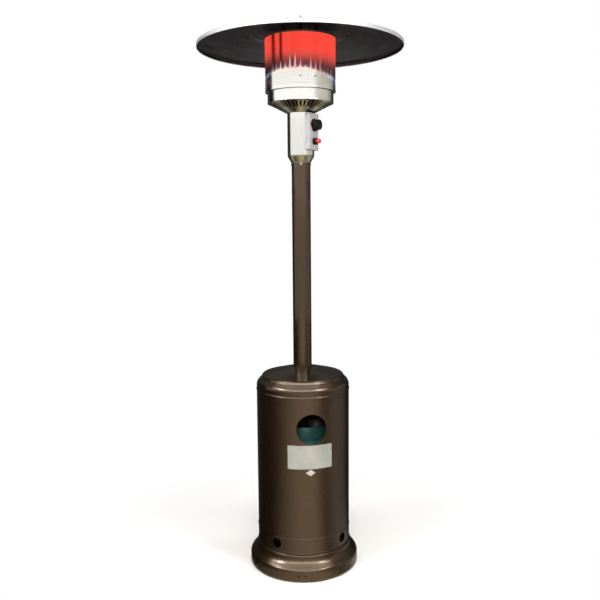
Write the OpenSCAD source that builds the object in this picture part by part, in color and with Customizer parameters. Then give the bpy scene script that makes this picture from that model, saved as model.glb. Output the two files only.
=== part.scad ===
// Gas umbrella patio heater with a sliding cover over its gas bottle.
// Millimetres, +Z up. The origin is on the floor, on the axis of the post.
// The front of the heater, with the hand hole, looks along -Y.

/* [Base] */
// Widest diameter of the base, over its rolled rim
base_d = 455; // [430:1:490]
// Height of the deck that the gas bottle, the legs and the cover stand on
base_h = 98; // [86:1:120]
// Height of the upright wall of the base
base_wall_h = 36; // [28:1:42]
// Radius of the round shoulder between the wall and the neck
base_shoulder_r = 23; // [16:1:26]
// How far the deck stands out past the barrel of the cover
deck_margin = 3.5; // [3:0.5:8]
// Height of the straight part of the neck
neck_h = 22; // [14:1:26]
// How far the rolled rim stands out from the wall
rim_roll = 2; // [0.5:0.5:4]
// Height of the widest line of the rolled rim
rim_roll_h = 8; // [5:1:12]
// How far the foot ring lies inside the widest line of the rim
foot_inset = 7.5; // [4:0.5:12]
// Width of the flat foot ring on the floor
foot_w = 16; // [10:1:24]
// Thickness of the pressed steel sheet of the base
base_t = 1.2; // [0.8:0.1:2]
// Thickness of the plate that closes the base from below
bottom_plate_t = 1.5; // [1:0.1:3]
// Gap between the cast ballast disc and the wall of the base
ballast_gap = 26.3; // [20:0.1:40]
// Thickness of the ballast disc
ballast_h = 46; // [30:1:50]
// Diameter of the hole through the middle of the ballast
ballast_bore_d = 40; // [20:1:80]
// Diameter of the small screw holes in the wall of the base
rim_hole_d = 5.2; // [4:0.1:8]
// Distance between the two screw holes of the front pair
rim_pair_w = 28; // [20:1:50]
// Sideways place of the middle of the front pair
rim_pair_x = -8; // [-20:1:20]
// Height of the screw holes
rim_hole_z = 28; // [18:1:34]
// Turn of the single screw hole from the front, to the right
rim_single_turn = 31; // [20:1:60]

/* [Cover over the gas bottle] */
// Outside diameter of the barrel
barrel_d = 383; // [376:1:390]
// Height of the barrel
barrel_h = 650; // [640:1:760]
// Sheet thickness of the barrel and its cap
barrel_t = 1; // [0.7:0.1:1.5]
// Height of the pressed bead above the barrel's lower edge
bead_h = 64; // [62:1:90]
// How far the bead stands out
bead_out = 0.8; // [0.4:0.1:1.6]
// Width of the bead
bead_w = 5; // [3:0.5:8]
// Diameter of the air holes near the floor of the barrel
vent_d = 40; // [20:1:44]
// Height of the air holes above the barrel's lower edge
vent_h = 38; // [30:1:38]
// Number of air holes
vent_count = 4; // [3:1:6]
// Turn of the first air hole from the front, to the right
vent_turn = 55; // [40:1:60]
// Diameter of the hand hole
hand_hole_d = 122; // [100:1:130]
// Height of the hand hole's centre above the barrel's lower edge
hand_hole_h = 518; // [510:1:560]
// Turn of the hand hole from the front, to the right
hand_hole_turn = 10; // [0:1:20]
// Arc length of the bare plate below the hand hole
plate_w = 184; // [120:1:200]
// Height of the bare plate
plate_h = 96; // [60:1:98]
// Height of the plate's lower edge above the barrel's lower edge
plate_up = 358; // [330:1:358]
// Turn of the plate from the front, to the right
plate_turn = 8.5; // [0:0.5:20]
// Thickness of the plate and of the diamond below it
plate_t = 0.6; // [0.3:0.1:1]
// Width of the small diamond below the plate, corner to corner
diamond_w = 39; // [20:1:44]
// Height of the small diamond, corner to corner
diamond_h = 26; // [14:1:28]
// Gap between the plate and the diamond's upper corner
diamond_gap = 2; // [1:1:10]
// Height of the cap's upright skirt
cap_skirt_h = 11; // [8:1:24]
// Radius of the cap's round shoulder
cap_round_r = 30; // [20:1:36]
// Height of the step inside the shoulder
cap_step_h = 17; // [15:1:26]
// Rise of the cap's crown from the step up to the post
cap_cone_h = 28; // [24:1:40]
// Depth of the cap's spigot inside the barrel
cap_spigot_h = 12; // [8:1:20]
// Running gap between the cap and the post
cap_post_gap = 1.5; // [0.8:0.1:3]

/* [Legs and post] */
// Distance from the outside of the barrel to the inner faces of the legs
leg_inset = 25.5; // [24:0.5:27]
// Width of the flat bar of a leg
leg_w = 36; // [30:1:44]
// Thickness of the flat bar
leg_t = 4; // [3:0.5:5]
// Length of the foot of a leg along the deck
leg_foot_l = 20; // [18:1:21]
// Height of the upright part of a leg
leg_upright_h = 542; // [536:1:560]
// Height of the clamping tab at the top of a leg
leg_tab_h = 50; // [46:1:56]
// Clearance between the legs' tabs and the cap above them
leg_cap_gap = 8; // [8:1:20]
// Distance between the two bolts of a foot
foot_bolt_w = 18; // [16:1:20]
// Distance between the two bolts of a tab
tab_bolt_h = 24; // [20:1:28]
// Diameter of the bolts of the legs
bolt_d = 8; // [6:1:8]
// Outside diameter of the post
post_d = 76; // [74:1:80]
// Wall of the post
post_t = 1.5; // [1:0.1:2.5]
// Length of the post
post_l = 892; // [800:1:940]
// Distance of the head's screws from the top of the post
head_screw_drop = 11; // [11:1:16]
// Thread diameter of the head's screws
head_screw_d = 6; // [5:0.5:6]
// Number of screws that hold the head
head_screw_count = 4; // [3:1:6]

/* [Gas bottle] */
// Gap between the gas bottle and the legs
bottle_play = 7; // [4:0.5:14]
// Straight height of the bottle's wall
bottle_wall_h = 316; // [300:1:320]
// Height of the upper dome
bottle_dome_h = 80; // [70:1:84]
// Depth of the lower dome
bottle_sump_h = 60; // [50:1:66]
// Clearance of the lower dome above the deck
bottle_lift = 12; // [8:1:16]
// Steel wall of the bottle
bottle_t = 3; // [2:0.1:4]
// Diameter of the bottle's foot ring and valve guard
guard_d = 210; // [190:1:220]
// Thickness of the foot ring and the guard
guard_t = 2.5; // [2:0.1:4]
// Height of the guard above the dome's crown
guard_h = 112; // [104:1:112]
// Diameter of the bottle's hand wheel
wheel_d = 60; // [50:1:64]
// Diameter of the regulator
regulator_d = 62; // [56:1:64]
// Distance of the regulator from the bottle's axis
regulator_r = 90; // [88:1:90]
// Outside diameter of the gas hose
hose_d = 12; // [11:0.5:13]

/* [Head] */
// Outside diameter of the control housing
control_d = 107; // [104:1:112]
// Height of the control housing
control_h = 164; // [160:1:176]
// Height of the taper between the post and the control housing
taper_h = 29; // [24:1:36]
// How far the taper reaches down over the post
taper_lap = 5; // [3:1:5]
// Sheet thickness of the head
head_t = 1; // [0.8:0.1:1.5]
// Width of the control panel
panel_w = 70; // [64:1:76]
// Height of the control panel
panel_h = 143; // [138:1:145]
// Distance of the panel's face from the axis of the post
panel_out = 62; // [60:1:66]
// Turn of the panel from the front, to the right
panel_turn = 58; // [50:1:66]
// Height of the knob's axis above the panel's lower edge
knob_up = 97; // [94:1:98]
// Diameter of the knob's skirt
knob_d = 45; // [38:1:48]
// Depth of the knob
knob_l = 19; // [18:1:28]
// Inward travel of the knob
knob_travel = 4; // [3:0.5:5]
// Diameter of the dark ring behind the knob
bezel_d = 49; // [46:1:54]
// Height of the igniter's axis above the panel's lower edge
igniter_up = 34; // [30:1:36]
// Diameter of the igniter's collar
collar_d = 27; // [25:1:30]
// Depth of the igniter's collar
collar_l = 14; // [10:1:16]
// Diameter of the igniter's button
button_d = 18; // [14:0.5:19]
// How far the button stands out of its collar
button_out = 14; // [10:1:16]
// Inward travel of the button
button_travel = 7; // [4:0.5:8]

/* [Burner and emitter] */
// Radius at the top of the slotted bowl
bowl_r = 126; // [120:1:128]
// Rise of the slotted bowl
bowl_h = 38; // [32:1:44]
// Number of slots in the bowl
slot_count = 44; // [36:1:48]
// Width of a slot
slot_w = 6; // [4:0.5:7]
// Radius where the slots begin
slot_r = 84; // [76:1:90]
// Diameter of the plain band above the bowl
band_d = 262; // [258:1:270]
// Height of the plain band
band_h = 48; // [40:1:60]
// Diameter of the emitter screen
emitter_d = 278; // [274:1:290]
// Height of the emitter screen
emitter_h = 201; // [180:1:220]
// Sheet thickness of the emitter screen
emitter_t = 0.8; // [0.6:0.1:1.2]
// Depth of the turned-down lips on the emitter's ring and top plate
lip_h = 5; // [4:1:8]
// Diameter of the burner cup
burner_d = 170; // [150:1:176]
// Rows of gas ports in the burner plate
port_rows = 4; // [3:1:5]
// Diameter of a gas port
port_d = 5; // [3:0.5:6]

/* [Reflector] */
// Diameter of the reflector
reflector_d = 813; // [700:1:900]
// Depth of the reflector from its crown to its rim
reflector_h = 86; // [70:1:110]
// Height of the upright rim
rim_h = 15; // [10:1:20]
// Sheet thickness of the reflector
reflector_t = 1; // [0.8:0.1:1.5]
// Diameter of the pressed ring
ring_d = 396; // [300:1:440]
// Rise of the pressed ring
ring_h = 4; // [2:0.5:6]
// Diameter of the flat crown
crown_d = 190; // [180:1:220]
// Length of the spacers under the reflector
spacer_l = 43; // [30:1:60]
// Diameter of the circle of the three studs
stud_circle_d = 150; // [100:1:156]
// Thread diameter of the studs
stud_d = 6; // [5:1:8]

/* [Hidden] */

$fn = 96;
// A small overshoot that lets a cutter pass right through a face
cut = 1;
// Gap between pieces that rest on each other
seat = 0.2;
// Gap around a fixed piece in its hole
fit = 0.3;
// Gap around a turning or sliding shaft
run = 0.1;
// Steps along each round corner of an outline
arc_n = 8;

bronze = "#4f4136";
bronze_dark = "#3b302a";
steel = "#b9b8b4";
zinc = "#c9c9c6";
stainless = "#d8d8d3";
brass = "#b08d4c";
copper = "#a8673f";
aluminium = "#c3c5c6";
heated_steel = "#c9b9b0";
black = "#1b1b1c";
dark_grey = "#3a3a3c";
mid_grey = "#6d7176";
panel_grey = "#a5a5a8";
concrete = "#8d8b86";
rubber = "#252423";
sleeve = "#b9b2a6";
ceramic = "#ece8df";
teal = "#1f4a48";
red = "#c8242b";
silver_film = "#cfccc2";
white_film = "#efeeea";

// Turns are counted from the front, which lies this many degrees before +X
front_turn = 90;

// Levels, from the floor up
deck_z = base_h;
barrel_z = deck_z + seat;
barrel_top_z = barrel_z + barrel_h;
shoulder_end = 75;
cap_step_z = barrel_top_z + cap_skirt_h + cap_round_r * sin(shoulder_end);
cap_cone_z = cap_step_z + cap_step_h;
cap_top_z = cap_cone_z + cap_cone_h;
leg_top_z = cap_top_z - leg_cap_gap - barrel_t;
post_z = leg_top_z - leg_tab_h;
post_top_z = post_z + post_l;
taper_z = post_top_z - taper_lap;
control_z = taper_z + taper_h;
control_top_z = control_z + control_h;
bowl_z = control_top_z + seat;
bowl_top_z = bowl_z + bowl_h;
band_z = bowl_top_z + seat;
ring_z = band_z + band_h + seat;
emitter_z = ring_z + head_t + seat;
emitter_top_z = emitter_z + emitter_h;
top_plate_t = 1.5;
top_plate_z = emitter_top_z + seat;
spacer_z = top_plate_z + top_plate_t + seat;
reflector_under_z = spacer_z + spacer_l + seat;
reflector_top_z = reflector_under_z + reflector_t;
reflector_rim_z = reflector_top_z - reflector_h;

// Radii that several pieces share
rim_r = base_d / 2;
deck_edge_r = 3;
bottom_plate_inset = 2;
wall_r = rim_r - rim_roll;
foot_r = rim_r - foot_inset;
barrel_r = barrel_d / 2;
neck_r = barrel_r + deck_margin;
ballast_r = wall_r - base_t - ballast_gap;
leg_r = barrel_r - leg_inset;
spigot_r = barrel_r - barrel_t - seat;
post_r = post_d / 2;
post_bore_r = post_r - post_t;
collar_r = post_r + cap_post_gap;
leg_tab_r = post_r + seat;
bolt_r = bolt_d / 2;
bolt_hole_r = bolt_r + fit;
nut_ratio = 0.92;
nut_r = bolt_d * nut_ratio;
bolt_head_h = 5.5;
bolt_nut_h = 6.5;
foot_bolt_r = leg_r + leg_t + (leg_foot_l - leg_t) / 2;
tab_bolt_z = leg_top_z - leg_tab_h / 2;
control_r = control_d / 2;
control_bore_r = control_r - head_t;
emitter_r = emitter_d / 2;
band_r = band_d / 2;

// The legs stand beside the front and at the back, clear of the hand hole
leg_turns = [-30, 210, 90];

// The bottle
bottle_r = leg_r - bottle_play;
bottle_low_z = deck_z + bottle_lift + bottle_sump_h;
bottle_high_z = bottle_low_z + bottle_wall_h;
bottle_crown_z = bottle_high_z + bottle_dome_h;
guard_r = guard_d / 2;
guard_in_r = guard_r - guard_t;
guard_top_z = bottle_crown_z + guard_h;
guard_sill_h = 32;
guard_lower_z = bottle_crown_z + guard_sill_h;
guard_open_from = -135;
guard_open_to = -5;
neck_boss_r = 20;
neck_boss_h = 10;
valve_stem_r = 12;
valve_stem_up = 20;
valve_body_r = 15;
valve_body_h = 50;
valve_body_z = bottle_crown_z + valve_stem_up;
valve_bonnet_r = 10;
valve_bonnet_h = 10;
valve_bonnet_z = valve_body_z + valve_body_h;
outlet_z = valve_body_z + valve_body_h / 2;
outlet_r = 11;
outlet_l = 34;
wheel_gap = 4;
wheel_h = 14;
wheel_shaft_r = 4;
wheel_shaft_depth = 18;
wheel_lobes = 6;
// The outlet points 4 back for every 3 to the right, so the hose leaves along 4 : 3
regulator_turn = -atan2(4, 3);
regulator_body_h = 22;
regulator_cap_h = 8;
regulator_cap_in = 4;
regulator_top_in = 9;
regulator_inlet_r = 8;
regulator_outlet_r = 7;
regulator_outlet_l = 36;
regulator_nut_l = 22;
regulator_nut_r = 17;
hose_start = 50;
fitting_r = 9;
fitting_l = 14;

// The control panel's own frame: +X out of the panel, +Y to its left
panel_angle = panel_turn - front_turn;
panel_top_gap = 2;
panel_z = control_top_z - panel_h - panel_top_gap;
panel_t = 1.2;
panel_face_in = panel_out - panel_t;
panel_back = 36;
knob_z = panel_z + knob_up;
igniter_z = panel_z + igniter_up;
window_w = 46;
window_margin = 12;
bush_r = 9;
bush_hole_r = bush_r + fit;
valve_w = 36;
valve_front = 40;
valve_back = 16;
valve_under = 28;
valve_above = 28;
plug_r = 8;
plug_from = 8;
plug_l = 26;
plug_flat = 2;
spindle_play = 1;
spindle_r = 3;
spindle_from = 18;
spindle_hole_r = spindle_r + run;
bezel_l = 3;
knob_clearance = 0.6;
knob_from = panel_out + bezel_l + knob_travel + knob_clearance;
knob_skirt_l = 4;
knob_grip_r = 20.5;
knob_tip_r = 20;
knob_socket_l = 16;
knob_mark_w = 2;
knob_mark_l = 12;
knob_mark_h = 1;
knob_mark_up = 2;
button_r = button_d / 2;
button_depth = 4;
button_play = 1;
igniter_body_r = 11;
igniter_from = 16;
button_from = panel_out - button_depth;
igniter_bore_from = button_from - button_travel - button_play;
collar_lip = 2;
panel_screw_r = 2.2;
panel_screw_head_r = 3.8;
panel_screw_head_h = 2;
panel_screw_inset = 7;
panel_screw_depth = 4;

// Fittings inside the head
inlet_nipple_r = 7;
inlet_nipple_l = 7;
head_fitting_z = knob_z - valve_under - inlet_nipple_l - fitting_l - seat;
gas_tube_r = 4;
gas_tube_l = 6;
injector_r = 8;
injector_nozzle_r = 5;
injector_h = 9;
injector_reach = 10;
valve_top_z = knob_z + valve_above;
injector_z = valve_top_z + gas_tube_l + 2 * seat;
head_plate_t = 2.5;
head_plate_z = control_top_z - head_plate_t;
socket_r = post_bore_r - seat;
socket_t = 2;
socket_depth = 26;
socket_flange_t = 2;
screw_end = 1;
lead_hole_r = 3.6;
lead_spots = [[24, -29], [24, 29], [30, 0]];
switch_w = 20;
switch_in = 30;
switch_h = 26;
switch_up = 5;
switch_z = igniter_z + switch_up;
switch_top_z = switch_z + switch_h;

// Burner
tube_r = 16;
tube_t = 1.2;
tube_h = 70;
tube_top_z = bowl_z + tube_h;
air_window_up = 24;
cup_rise = 30;
cup_rim_h = 12;
cup_t = 1;
cup_z = tube_top_z + seat;
cup_r = burner_d / 2;
cup_lap = 2;
port_margin = 22;
plate_drop = 3;
plate_thick = 1.5;
burner_plate_z = cup_z + cup_rise + cup_rim_h - plate_drop;
pilot_out = 100;
pilot_spread = 14;
pilot_bracket_up = 3;
pilot_bracket_z = cup_z + cup_rise + pilot_bracket_up;
pilot_bracket_w = 40;
pilot_bracket_t = 1.5;
pilot_bracket_to = 108;
pilot_h = 26;
pilot_r = 4.5;
electrode_r = 3.5;
electrode_h = 34;
electrode_wire_r = 1;
electrode_wire_l = 10;
electrode_body_h = 26;
sensor_r = 2.5;
air_window_r = 6;
emitter_screw_up = 35;
emitter_screw_r = 3.5;
emitter_screw_h = 2.2;
emitter_screw_depth = 6;
bowl_lap = 4;
slot_end = 4;
ring_inset = 12;
emitter_screw_turns = [-90, -66, 30, 150];

// Reflector fixings
stud_r = stud_d / 2;
stud_hole_r = stud_r + fit;
stud_head_r = 6;
stud_head_h = 3;
stud_above = 22;
spacer_r = 6;
washer_r = 11;
washer_t = 1.5;
wing_hub_r = 6.5;
wing_hub_h = 9;
wing_span = 30;
wing_t = 3;
wing_h = 12;
stud_turns = [30, 150, 270];

// Route of the gas hose, from the regulator through the post to the valve in the head
hose_loop = [[94, -42, 612], [106, -33, 612], [126, -18, 616], [142, -6, 628], [150, 0, 646],
    [152, 1, 668], [146, 1, 690], [132, 0, 708], [112, 0, 720], [90, 0, 727], [68, 0, 735],
    [48, 0, 747], [32, 0, 763], [24, 0, 786], [19, 0, 816], [14, 0, 848], [8, 0, 884],
    [3, 0, 920], [0, 0, 956]];
hose_step = 36;
hose_rise_from = 992;

// Where the leads in the head bend over the bowl, and where they end under the pilot bracket
lead_bend_z = bowl_z + 8;
lead_end_z = pilot_bracket_z - seat;
lead_turn_z = igniter_z + 14;
lead_d = 4;
lead_sides = 8;
lead_stub = 5;

// Points on an arc around c, from angle a0 to a1
function arc(c, r, a0, a1) =
    [for (i = [0:arc_n]) let (a = a0 + (a1 - a0) * i / arc_n) c + r * [cos(a), sin(a)]];
// The same points in the opposite order
function reversed(p) = [for (i = [len(p) - 1:-1:0]) p[i]];
// Closed outline of a sheet, from its outer path and its inner path
function sheet(outer, inner) = concat(outer, reversed(inner));
function unit(v) = v / norm(v);
// Direction of a route at point i
function heading(p, i) = unit(p[min(i + 1, len(p) - 1)] - p[max(i - 1, 0)]);
// Height of a dome of radius r and height h above its rim, at distance x from its axis
function dome_at(r, h, x) = h * sqrt(1 - pow(x / r, 2));

// The part f of the way from height a to height b
function between(a, b, f) = a + (b - a) * f;
// Upright stretch of a lead at the given spot, from height z up to the bend over the bowl
function rise(spot, z) = [for (f = [0:0.2:1]) [spot[0], spot[1], between(z, lead_bend_z, f)]];
// Stretch of a side lead from the bend to the pilot bracket, on side -1 or 1
function side_climb(side) = [for (p = [[29, 29, 0.13], [40, 29, 0.23], [54, 28, 0.36],
    [70, 25, 0.51], [84, 20, 0.67], [95, 16, 0.8], [100, 14, 0.92], [100, 14, 1]])
        [p[0], side * p[1], between(lead_bend_z, lead_end_z, p[2])]];

module lathe(outline) {
    rotate_extrude() polygon(outline);
}

module ring(r_out, r_in, h) {
    difference() {
        cylinder(r = r_out, h = h);
        translate([0, 0, -cut]) cylinder(r = r_in, h = h + 2 * cut);
    }
}

// A rod along the radius at the given turn, from radius a to radius b
module rod(turn, a, b, z, r, sides = $fn) {
    rotate([0, 0, turn]) translate([a, 0, z]) rotate([0, 90, 0])
        cylinder(r = r, h = b - a, $fn = sides);
}

// Wedge of a circle between two turns, used to cut or keep a sector
module wedge(from, to, reach, h) {
    steps = 6;
    linear_extrude(height = h) polygon(concat([[0, 0]],
        [for (i = [0:steps]) let (a = from + (to - from) * i / steps) reach * [cos(a), sin(a)]]));
}

// Round cord of diameter d through the points of a route
module cord(route, d, sides, side_ref) {
    n = len(route);
    points = [for (i = [0:n - 1])
        let (t = heading(route, i), s = unit(cross(side_ref, t)), u = cross(t, s))
        for (k = [0:sides - 1]) let (a = 360 * k / sides)
            route[i] + d / 2 * (cos(a) * s + sin(a) * u)];
    walls = [for (i = [0:n - 2]) for (k = [0:sides - 1])
        let (a = i * sides + k, b = i * sides + (k + 1) % sides)
        each [[a, a + sides, b + sides], [a, b + sides, b]]];
    start = [[for (k = [0:sides - 1]) k]];
    end = [[for (k = [sides - 1:-1:0]) (n - 1) * sides + k]];
    polyhedron(points = points, faces = concat(start, end, walls), convexity = 6);
}

module in_panel_frame() {
    rotate([0, 0, panel_angle]) children();
}

// Base

// Path of the base sheet at depth t under its outer face, from the foot to the middle of the deck
function pan_path(t) = concat(
    [[foot_r - foot_w, t], [foot_r - t / 2, t], [rim_r - t, rim_roll_h],
        [wall_r - t, rim_roll_h + 3 * rim_roll]],
    arc([wall_r - base_shoulder_r, base_wall_h], base_shoulder_r - t, 0, shoulder_end),
    [[neck_r - t, base_h - neck_h]],
    arc([neck_r - deck_edge_r, base_h - deck_edge_r], deck_edge_r - t, 0, 90),
    [[0, base_h - t]]);

module leg_spots() {
    for (turn = leg_turns) rotate([0, 0, turn]) children();
}

module foot_bolt_spots() {
    leg_spots() for (side = [-1, 1])
        translate([foot_bolt_r, side * foot_bolt_w / 2, 0]) children();
}

module tab_bolt_rods(from, to, r, sides = $fn) {
    for (turn = leg_turns) for (side = [-1, 1])
        rod(turn, from, to, tab_bolt_z + side * tab_bolt_h / 2, r, sides);
}

module rim_hole_cutters() {
    for (side = [-1, 1])
        translate([rim_pair_x + side * rim_pair_w / 2, -rim_r - cut, rim_hole_z])
            rotate([-90, 0, 0]) cylinder(d = rim_hole_d, h = base_shoulder_r);
    rod(rim_single_turn - front_turn, wall_r - base_shoulder_r, rim_r + cut, rim_hole_z, rim_hole_d / 2);
}

module base_pan() {
    color(bronze) difference() {
        lathe(sheet(pan_path(0), pan_path(base_t)));
        translate([0, 0, base_h - base_t - cut]) foot_bolt_spots()
            cylinder(r = bolt_hole_r, h = base_t + 2 * cut);
        rim_hole_cutters();
    }
}

module base_bottom_plate() {
    color(black) translate([0, 0, base_t + seat])
        cylinder(r = foot_r - bottom_plate_inset, h = bottom_plate_t);
}

module ballast_disc() {
    color(concrete) translate([0, 0, base_t + bottom_plate_t + 2 * seat])
        ring(ballast_r, ballast_bore_d / 2, ballast_h);
}

// Legs and post

bend_z = deck_z + seat + leg_upright_h;
lean = atan2(leg_r - leg_tab_r, post_z - bend_z);
miter = leg_t * tan(lean / 2);
leg_outline = [[leg_r, deck_z + seat], [leg_r, bend_z], [leg_tab_r, post_z],
    [leg_tab_r, leg_top_z], [leg_tab_r + leg_t, leg_top_z], [leg_tab_r + leg_t, post_z + miter],
    [leg_r + leg_t, bend_z + miter], [leg_r + leg_t, deck_z + seat + leg_t],
    [leg_r + leg_foot_l, deck_z + seat + leg_t], [leg_r + leg_foot_l, deck_z + seat]];

module leg(turn) {
    color(bronze_dark) difference() {
        rotate([0, 0, turn]) rotate([90, 0, 0])
            linear_extrude(height = leg_w, center = true) polygon(leg_outline);
        foot_bolt_spots() translate([0, 0, deck_z - cut])
            cylinder(r = bolt_hole_r, h = leg_t + 2 * cut);
        tab_bolt_rods(leg_tab_r - cut, leg_tab_r + leg_t + cut, bolt_hole_r);
    }
}

module leg_right() { leg(leg_turns[0]); }
module leg_left() { leg(leg_turns[1]); }
module leg_rear() { leg(leg_turns[2]); }

leg_foot_top_z = deck_z + seat + leg_t;
foot_nut_z = deck_z - base_t - bolt_nut_h;
tab_out_r = leg_tab_r + leg_t;
tab_nut_r = sqrt(pow(post_bore_r, 2) - pow(nut_r, 2)) - seat;
thread_over = 3;

module leg_bolts() {
    color(zinc) {
        foot_bolt_spots() {
            translate([0, 0, leg_foot_top_z]) cylinder(r = nut_r, h = bolt_head_h, $fn = 6);
            translate([0, 0, foot_nut_z - thread_over])
                cylinder(r = bolt_r, h = leg_foot_top_z - foot_nut_z + thread_over);
        }
        tab_bolt_rods(tab_out_r, tab_out_r + bolt_head_h, nut_r, 6);
        tab_bolt_rods(tab_nut_r - bolt_nut_h - thread_over, tab_out_r, bolt_r);
    }
}

module leg_nuts() {
    color(zinc) {
        foot_bolt_spots() translate([0, 0, foot_nut_z]) difference() {
            cylinder(r = nut_r, h = bolt_nut_h, $fn = 6);
            translate([0, 0, -cut]) cylinder(r = bolt_r + run / 2, h = bolt_nut_h + 2 * cut);
        }
        difference() {
            tab_bolt_rods(tab_nut_r - bolt_nut_h, tab_nut_r, nut_r, 6);
            tab_bolt_rods(tab_nut_r - bolt_nut_h - cut, tab_nut_r + cut, bolt_r + run / 2);
        }
    }
}

head_screw_z = post_top_z - head_screw_drop;
head_screw_r = head_screw_d / 2;
head_screw_head_r = head_screw_d * 0.9;
head_screw_head_h = 2.6;

module head_screw_rods(from, to, r) {
    for (i = [0:head_screw_count - 1])
        rod(i * 360 / head_screw_count - front_turn, from, to, head_screw_z, r);
}

module post() {
    color(bronze) difference() {
        translate([0, 0, post_z]) ring(post_r, post_bore_r, post_l);
        tab_bolt_rods(post_bore_r - cut, post_r + cut, bolt_hole_r);
        head_screw_rods(post_bore_r - cut, post_r + cut, head_screw_r + fit / 2);
    }
}

// Gas bottle

// Quarter of an ellipse with half-axes a and b around height z, from angle a0 to a1
function shell_arc(a, b, z, a0, a1) = [for (i = [0:2 * arc_n])
    let (t = a0 + (a1 - a0) * i / (2 * arc_n)) [a * cos(t), z + b * sin(t)]];
boss_hole_r = valve_stem_r + run / 2;
boss_angle = acos(boss_hole_r / bottle_r);
function bottle_path(t) = concat(
    shell_arc(bottle_r - t, bottle_sump_h - t, bottle_low_z, -90, 0),
    shell_arc(bottle_r - t, bottle_dome_h - t, bottle_high_z, 0, boss_angle));

module gas_bottle() {
    color(teal) {
        lathe(sheet(bottle_path(0), bottle_path(bottle_t)));
        translate([0, 0, bottle_crown_z - bottle_t])
            ring(neck_boss_r, boss_hole_r, bottle_t + neck_boss_h);
    }
}

sump_at_ring_z = bottle_low_z - dome_at(bottle_r, bottle_sump_h, guard_in_r);
dome_at_guard_z = bottle_high_z + dome_at(bottle_r, bottle_dome_h, guard_in_r);

module bottle_foot_ring() {
    color(teal) translate([0, 0, deck_z + seat])
        ring(guard_r, guard_in_r, sump_at_ring_z - deck_z - 2 * seat);
}

module bottle_guard() {
    color(teal) translate([0, 0, dome_at_guard_z + seat]) difference() {
        ring(guard_r, guard_in_r, guard_top_z - dome_at_guard_z);
        translate([0, 0, guard_lower_z - dome_at_guard_z])
            wedge(guard_open_from, guard_open_to, guard_d, guard_h + cut);
    }
}

module bottle_valve() {
    color(brass) difference() {
        union() {
            translate([0, 0, bottle_crown_z]) cylinder(r = valve_stem_r, h = valve_stem_up);
            translate([0, 0, valve_body_z]) cylinder(r = valve_body_r, h = valve_body_h);
            translate([0, 0, valve_bonnet_z]) cylinder(r = valve_bonnet_r, h = valve_bonnet_h);
            rod(regulator_turn, 0, outlet_l, outlet_z, outlet_r);
        }
        translate([0, 0, valve_bonnet_z + valve_bonnet_h - wheel_shaft_depth - seat])
            cylinder(r = wheel_shaft_r + run, h = wheel_shaft_depth + cut);
    }
}

wheel_z = valve_bonnet_z + valve_bonnet_h + wheel_gap;
wheel_r = wheel_d / 2;
wheel_notch_r = 8;

module bottle_handwheel() {
    color(dark_grey) {
        difference() {
            translate([0, 0, wheel_z]) cylinder(r = wheel_r, h = wheel_h);
            for (i = [0:wheel_lobes - 1]) rotate([0, 0, i * 360 / wheel_lobes])
                translate([wheel_r + wheel_notch_r / 2, 0, wheel_z - cut])
                    cylinder(r = wheel_notch_r, h = wheel_h + 2 * cut);
        }
        translate([0, 0, wheel_z - wheel_gap - wheel_shaft_depth])
            cylinder(r = wheel_shaft_r, h = wheel_shaft_depth + wheel_gap + cut);
    }
}

regulator_r_out = regulator_d / 2;

module at_regulator() {
    rotate([0, 0, regulator_turn]) translate([regulator_r, 0, outlet_z]) children();
}

module regulator() {
    color(mid_grey) {
        at_regulator() {
            translate([0, 0, -regulator_body_h / 2])
                cylinder(r = regulator_r_out, h = regulator_body_h);
            translate([0, 0, regulator_body_h / 2])
                cylinder(r1 = regulator_r_out - regulator_cap_in,
                    r2 = regulator_r_out - regulator_top_in, h = regulator_cap_h);
            rotate([-90, 0, 0]) cylinder(r = regulator_outlet_r, h = regulator_outlet_l);
        }
        rod(regulator_turn, outlet_l + seat, regulator_r, outlet_z, regulator_inlet_r);
    }
}

module regulator_nut() {
    from = outlet_l - regulator_nut_l / 2;
    color(brass) difference() {
        rod(regulator_turn, from, from + regulator_nut_l, outlet_z, regulator_nut_r, 6);
        rod(regulator_turn, from - cut, outlet_l + seat, outlet_z, outlet_r + run / 2);
        rod(regulator_turn, from, from + regulator_nut_l + cut, outlet_z,
            regulator_inlet_r + run / 2);
    }
}

module hose_fittings() {
    color(brass) {
        at_regulator() rotate([-90, 0, 0]) translate([0, 0, hose_start - fitting_l + seat])
            cylinder(r = fitting_r, h = fitting_l - seat);
        translate([0, 0, head_fitting_z]) cylinder(r = fitting_r, h = fitting_l);
    }
}

hose_route = concat(hose_loop,
    [for (z = [hose_rise_from:hose_step:head_fitting_z - hose_step / 2]) [0, 0, z]],
    [[0, 0, head_fitting_z]]);

module gas_hose() {
    color(rubber) cord(hose_route, hose_d, 10, [0, 1, 0]);
}

// Cover over the bottle

barrel_outline = [[barrel_r - barrel_t, 0], [barrel_r, 0],
    [barrel_r, bead_h - bead_w / 2], [barrel_r + bead_out, bead_h - bead_w / 4],
    [barrel_r + bead_out, bead_h + bead_w / 4], [barrel_r, bead_h + bead_w / 2],
    [barrel_r, barrel_h], [barrel_r - barrel_t, barrel_h]];

module housing_barrel() {
    color(bronze) difference() {
        translate([0, 0, barrel_z]) lathe(barrel_outline);
        for (i = [0:vent_count - 1])
            rod(vent_turn - front_turn + i * 360 / vent_count, barrel_r - 3 * vent_d / 4,
                barrel_r + vent_d / 4, barrel_z + vent_h, vent_d / 2);
        rod(hand_hole_turn - front_turn, barrel_r - hand_hole_d / 2, barrel_r + hand_hole_d / 4,
            barrel_z + hand_hole_h, hand_hole_d / 2);
    }
}

step_r = barrel_r - cap_round_r + cap_round_r * cos(shoulder_end);
step_in = 6;
step_fall = 2;
cone_foot_in = 13;
crown_in = 65;
crown_rise_part = 0.52;
collar_down = 5;

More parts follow.
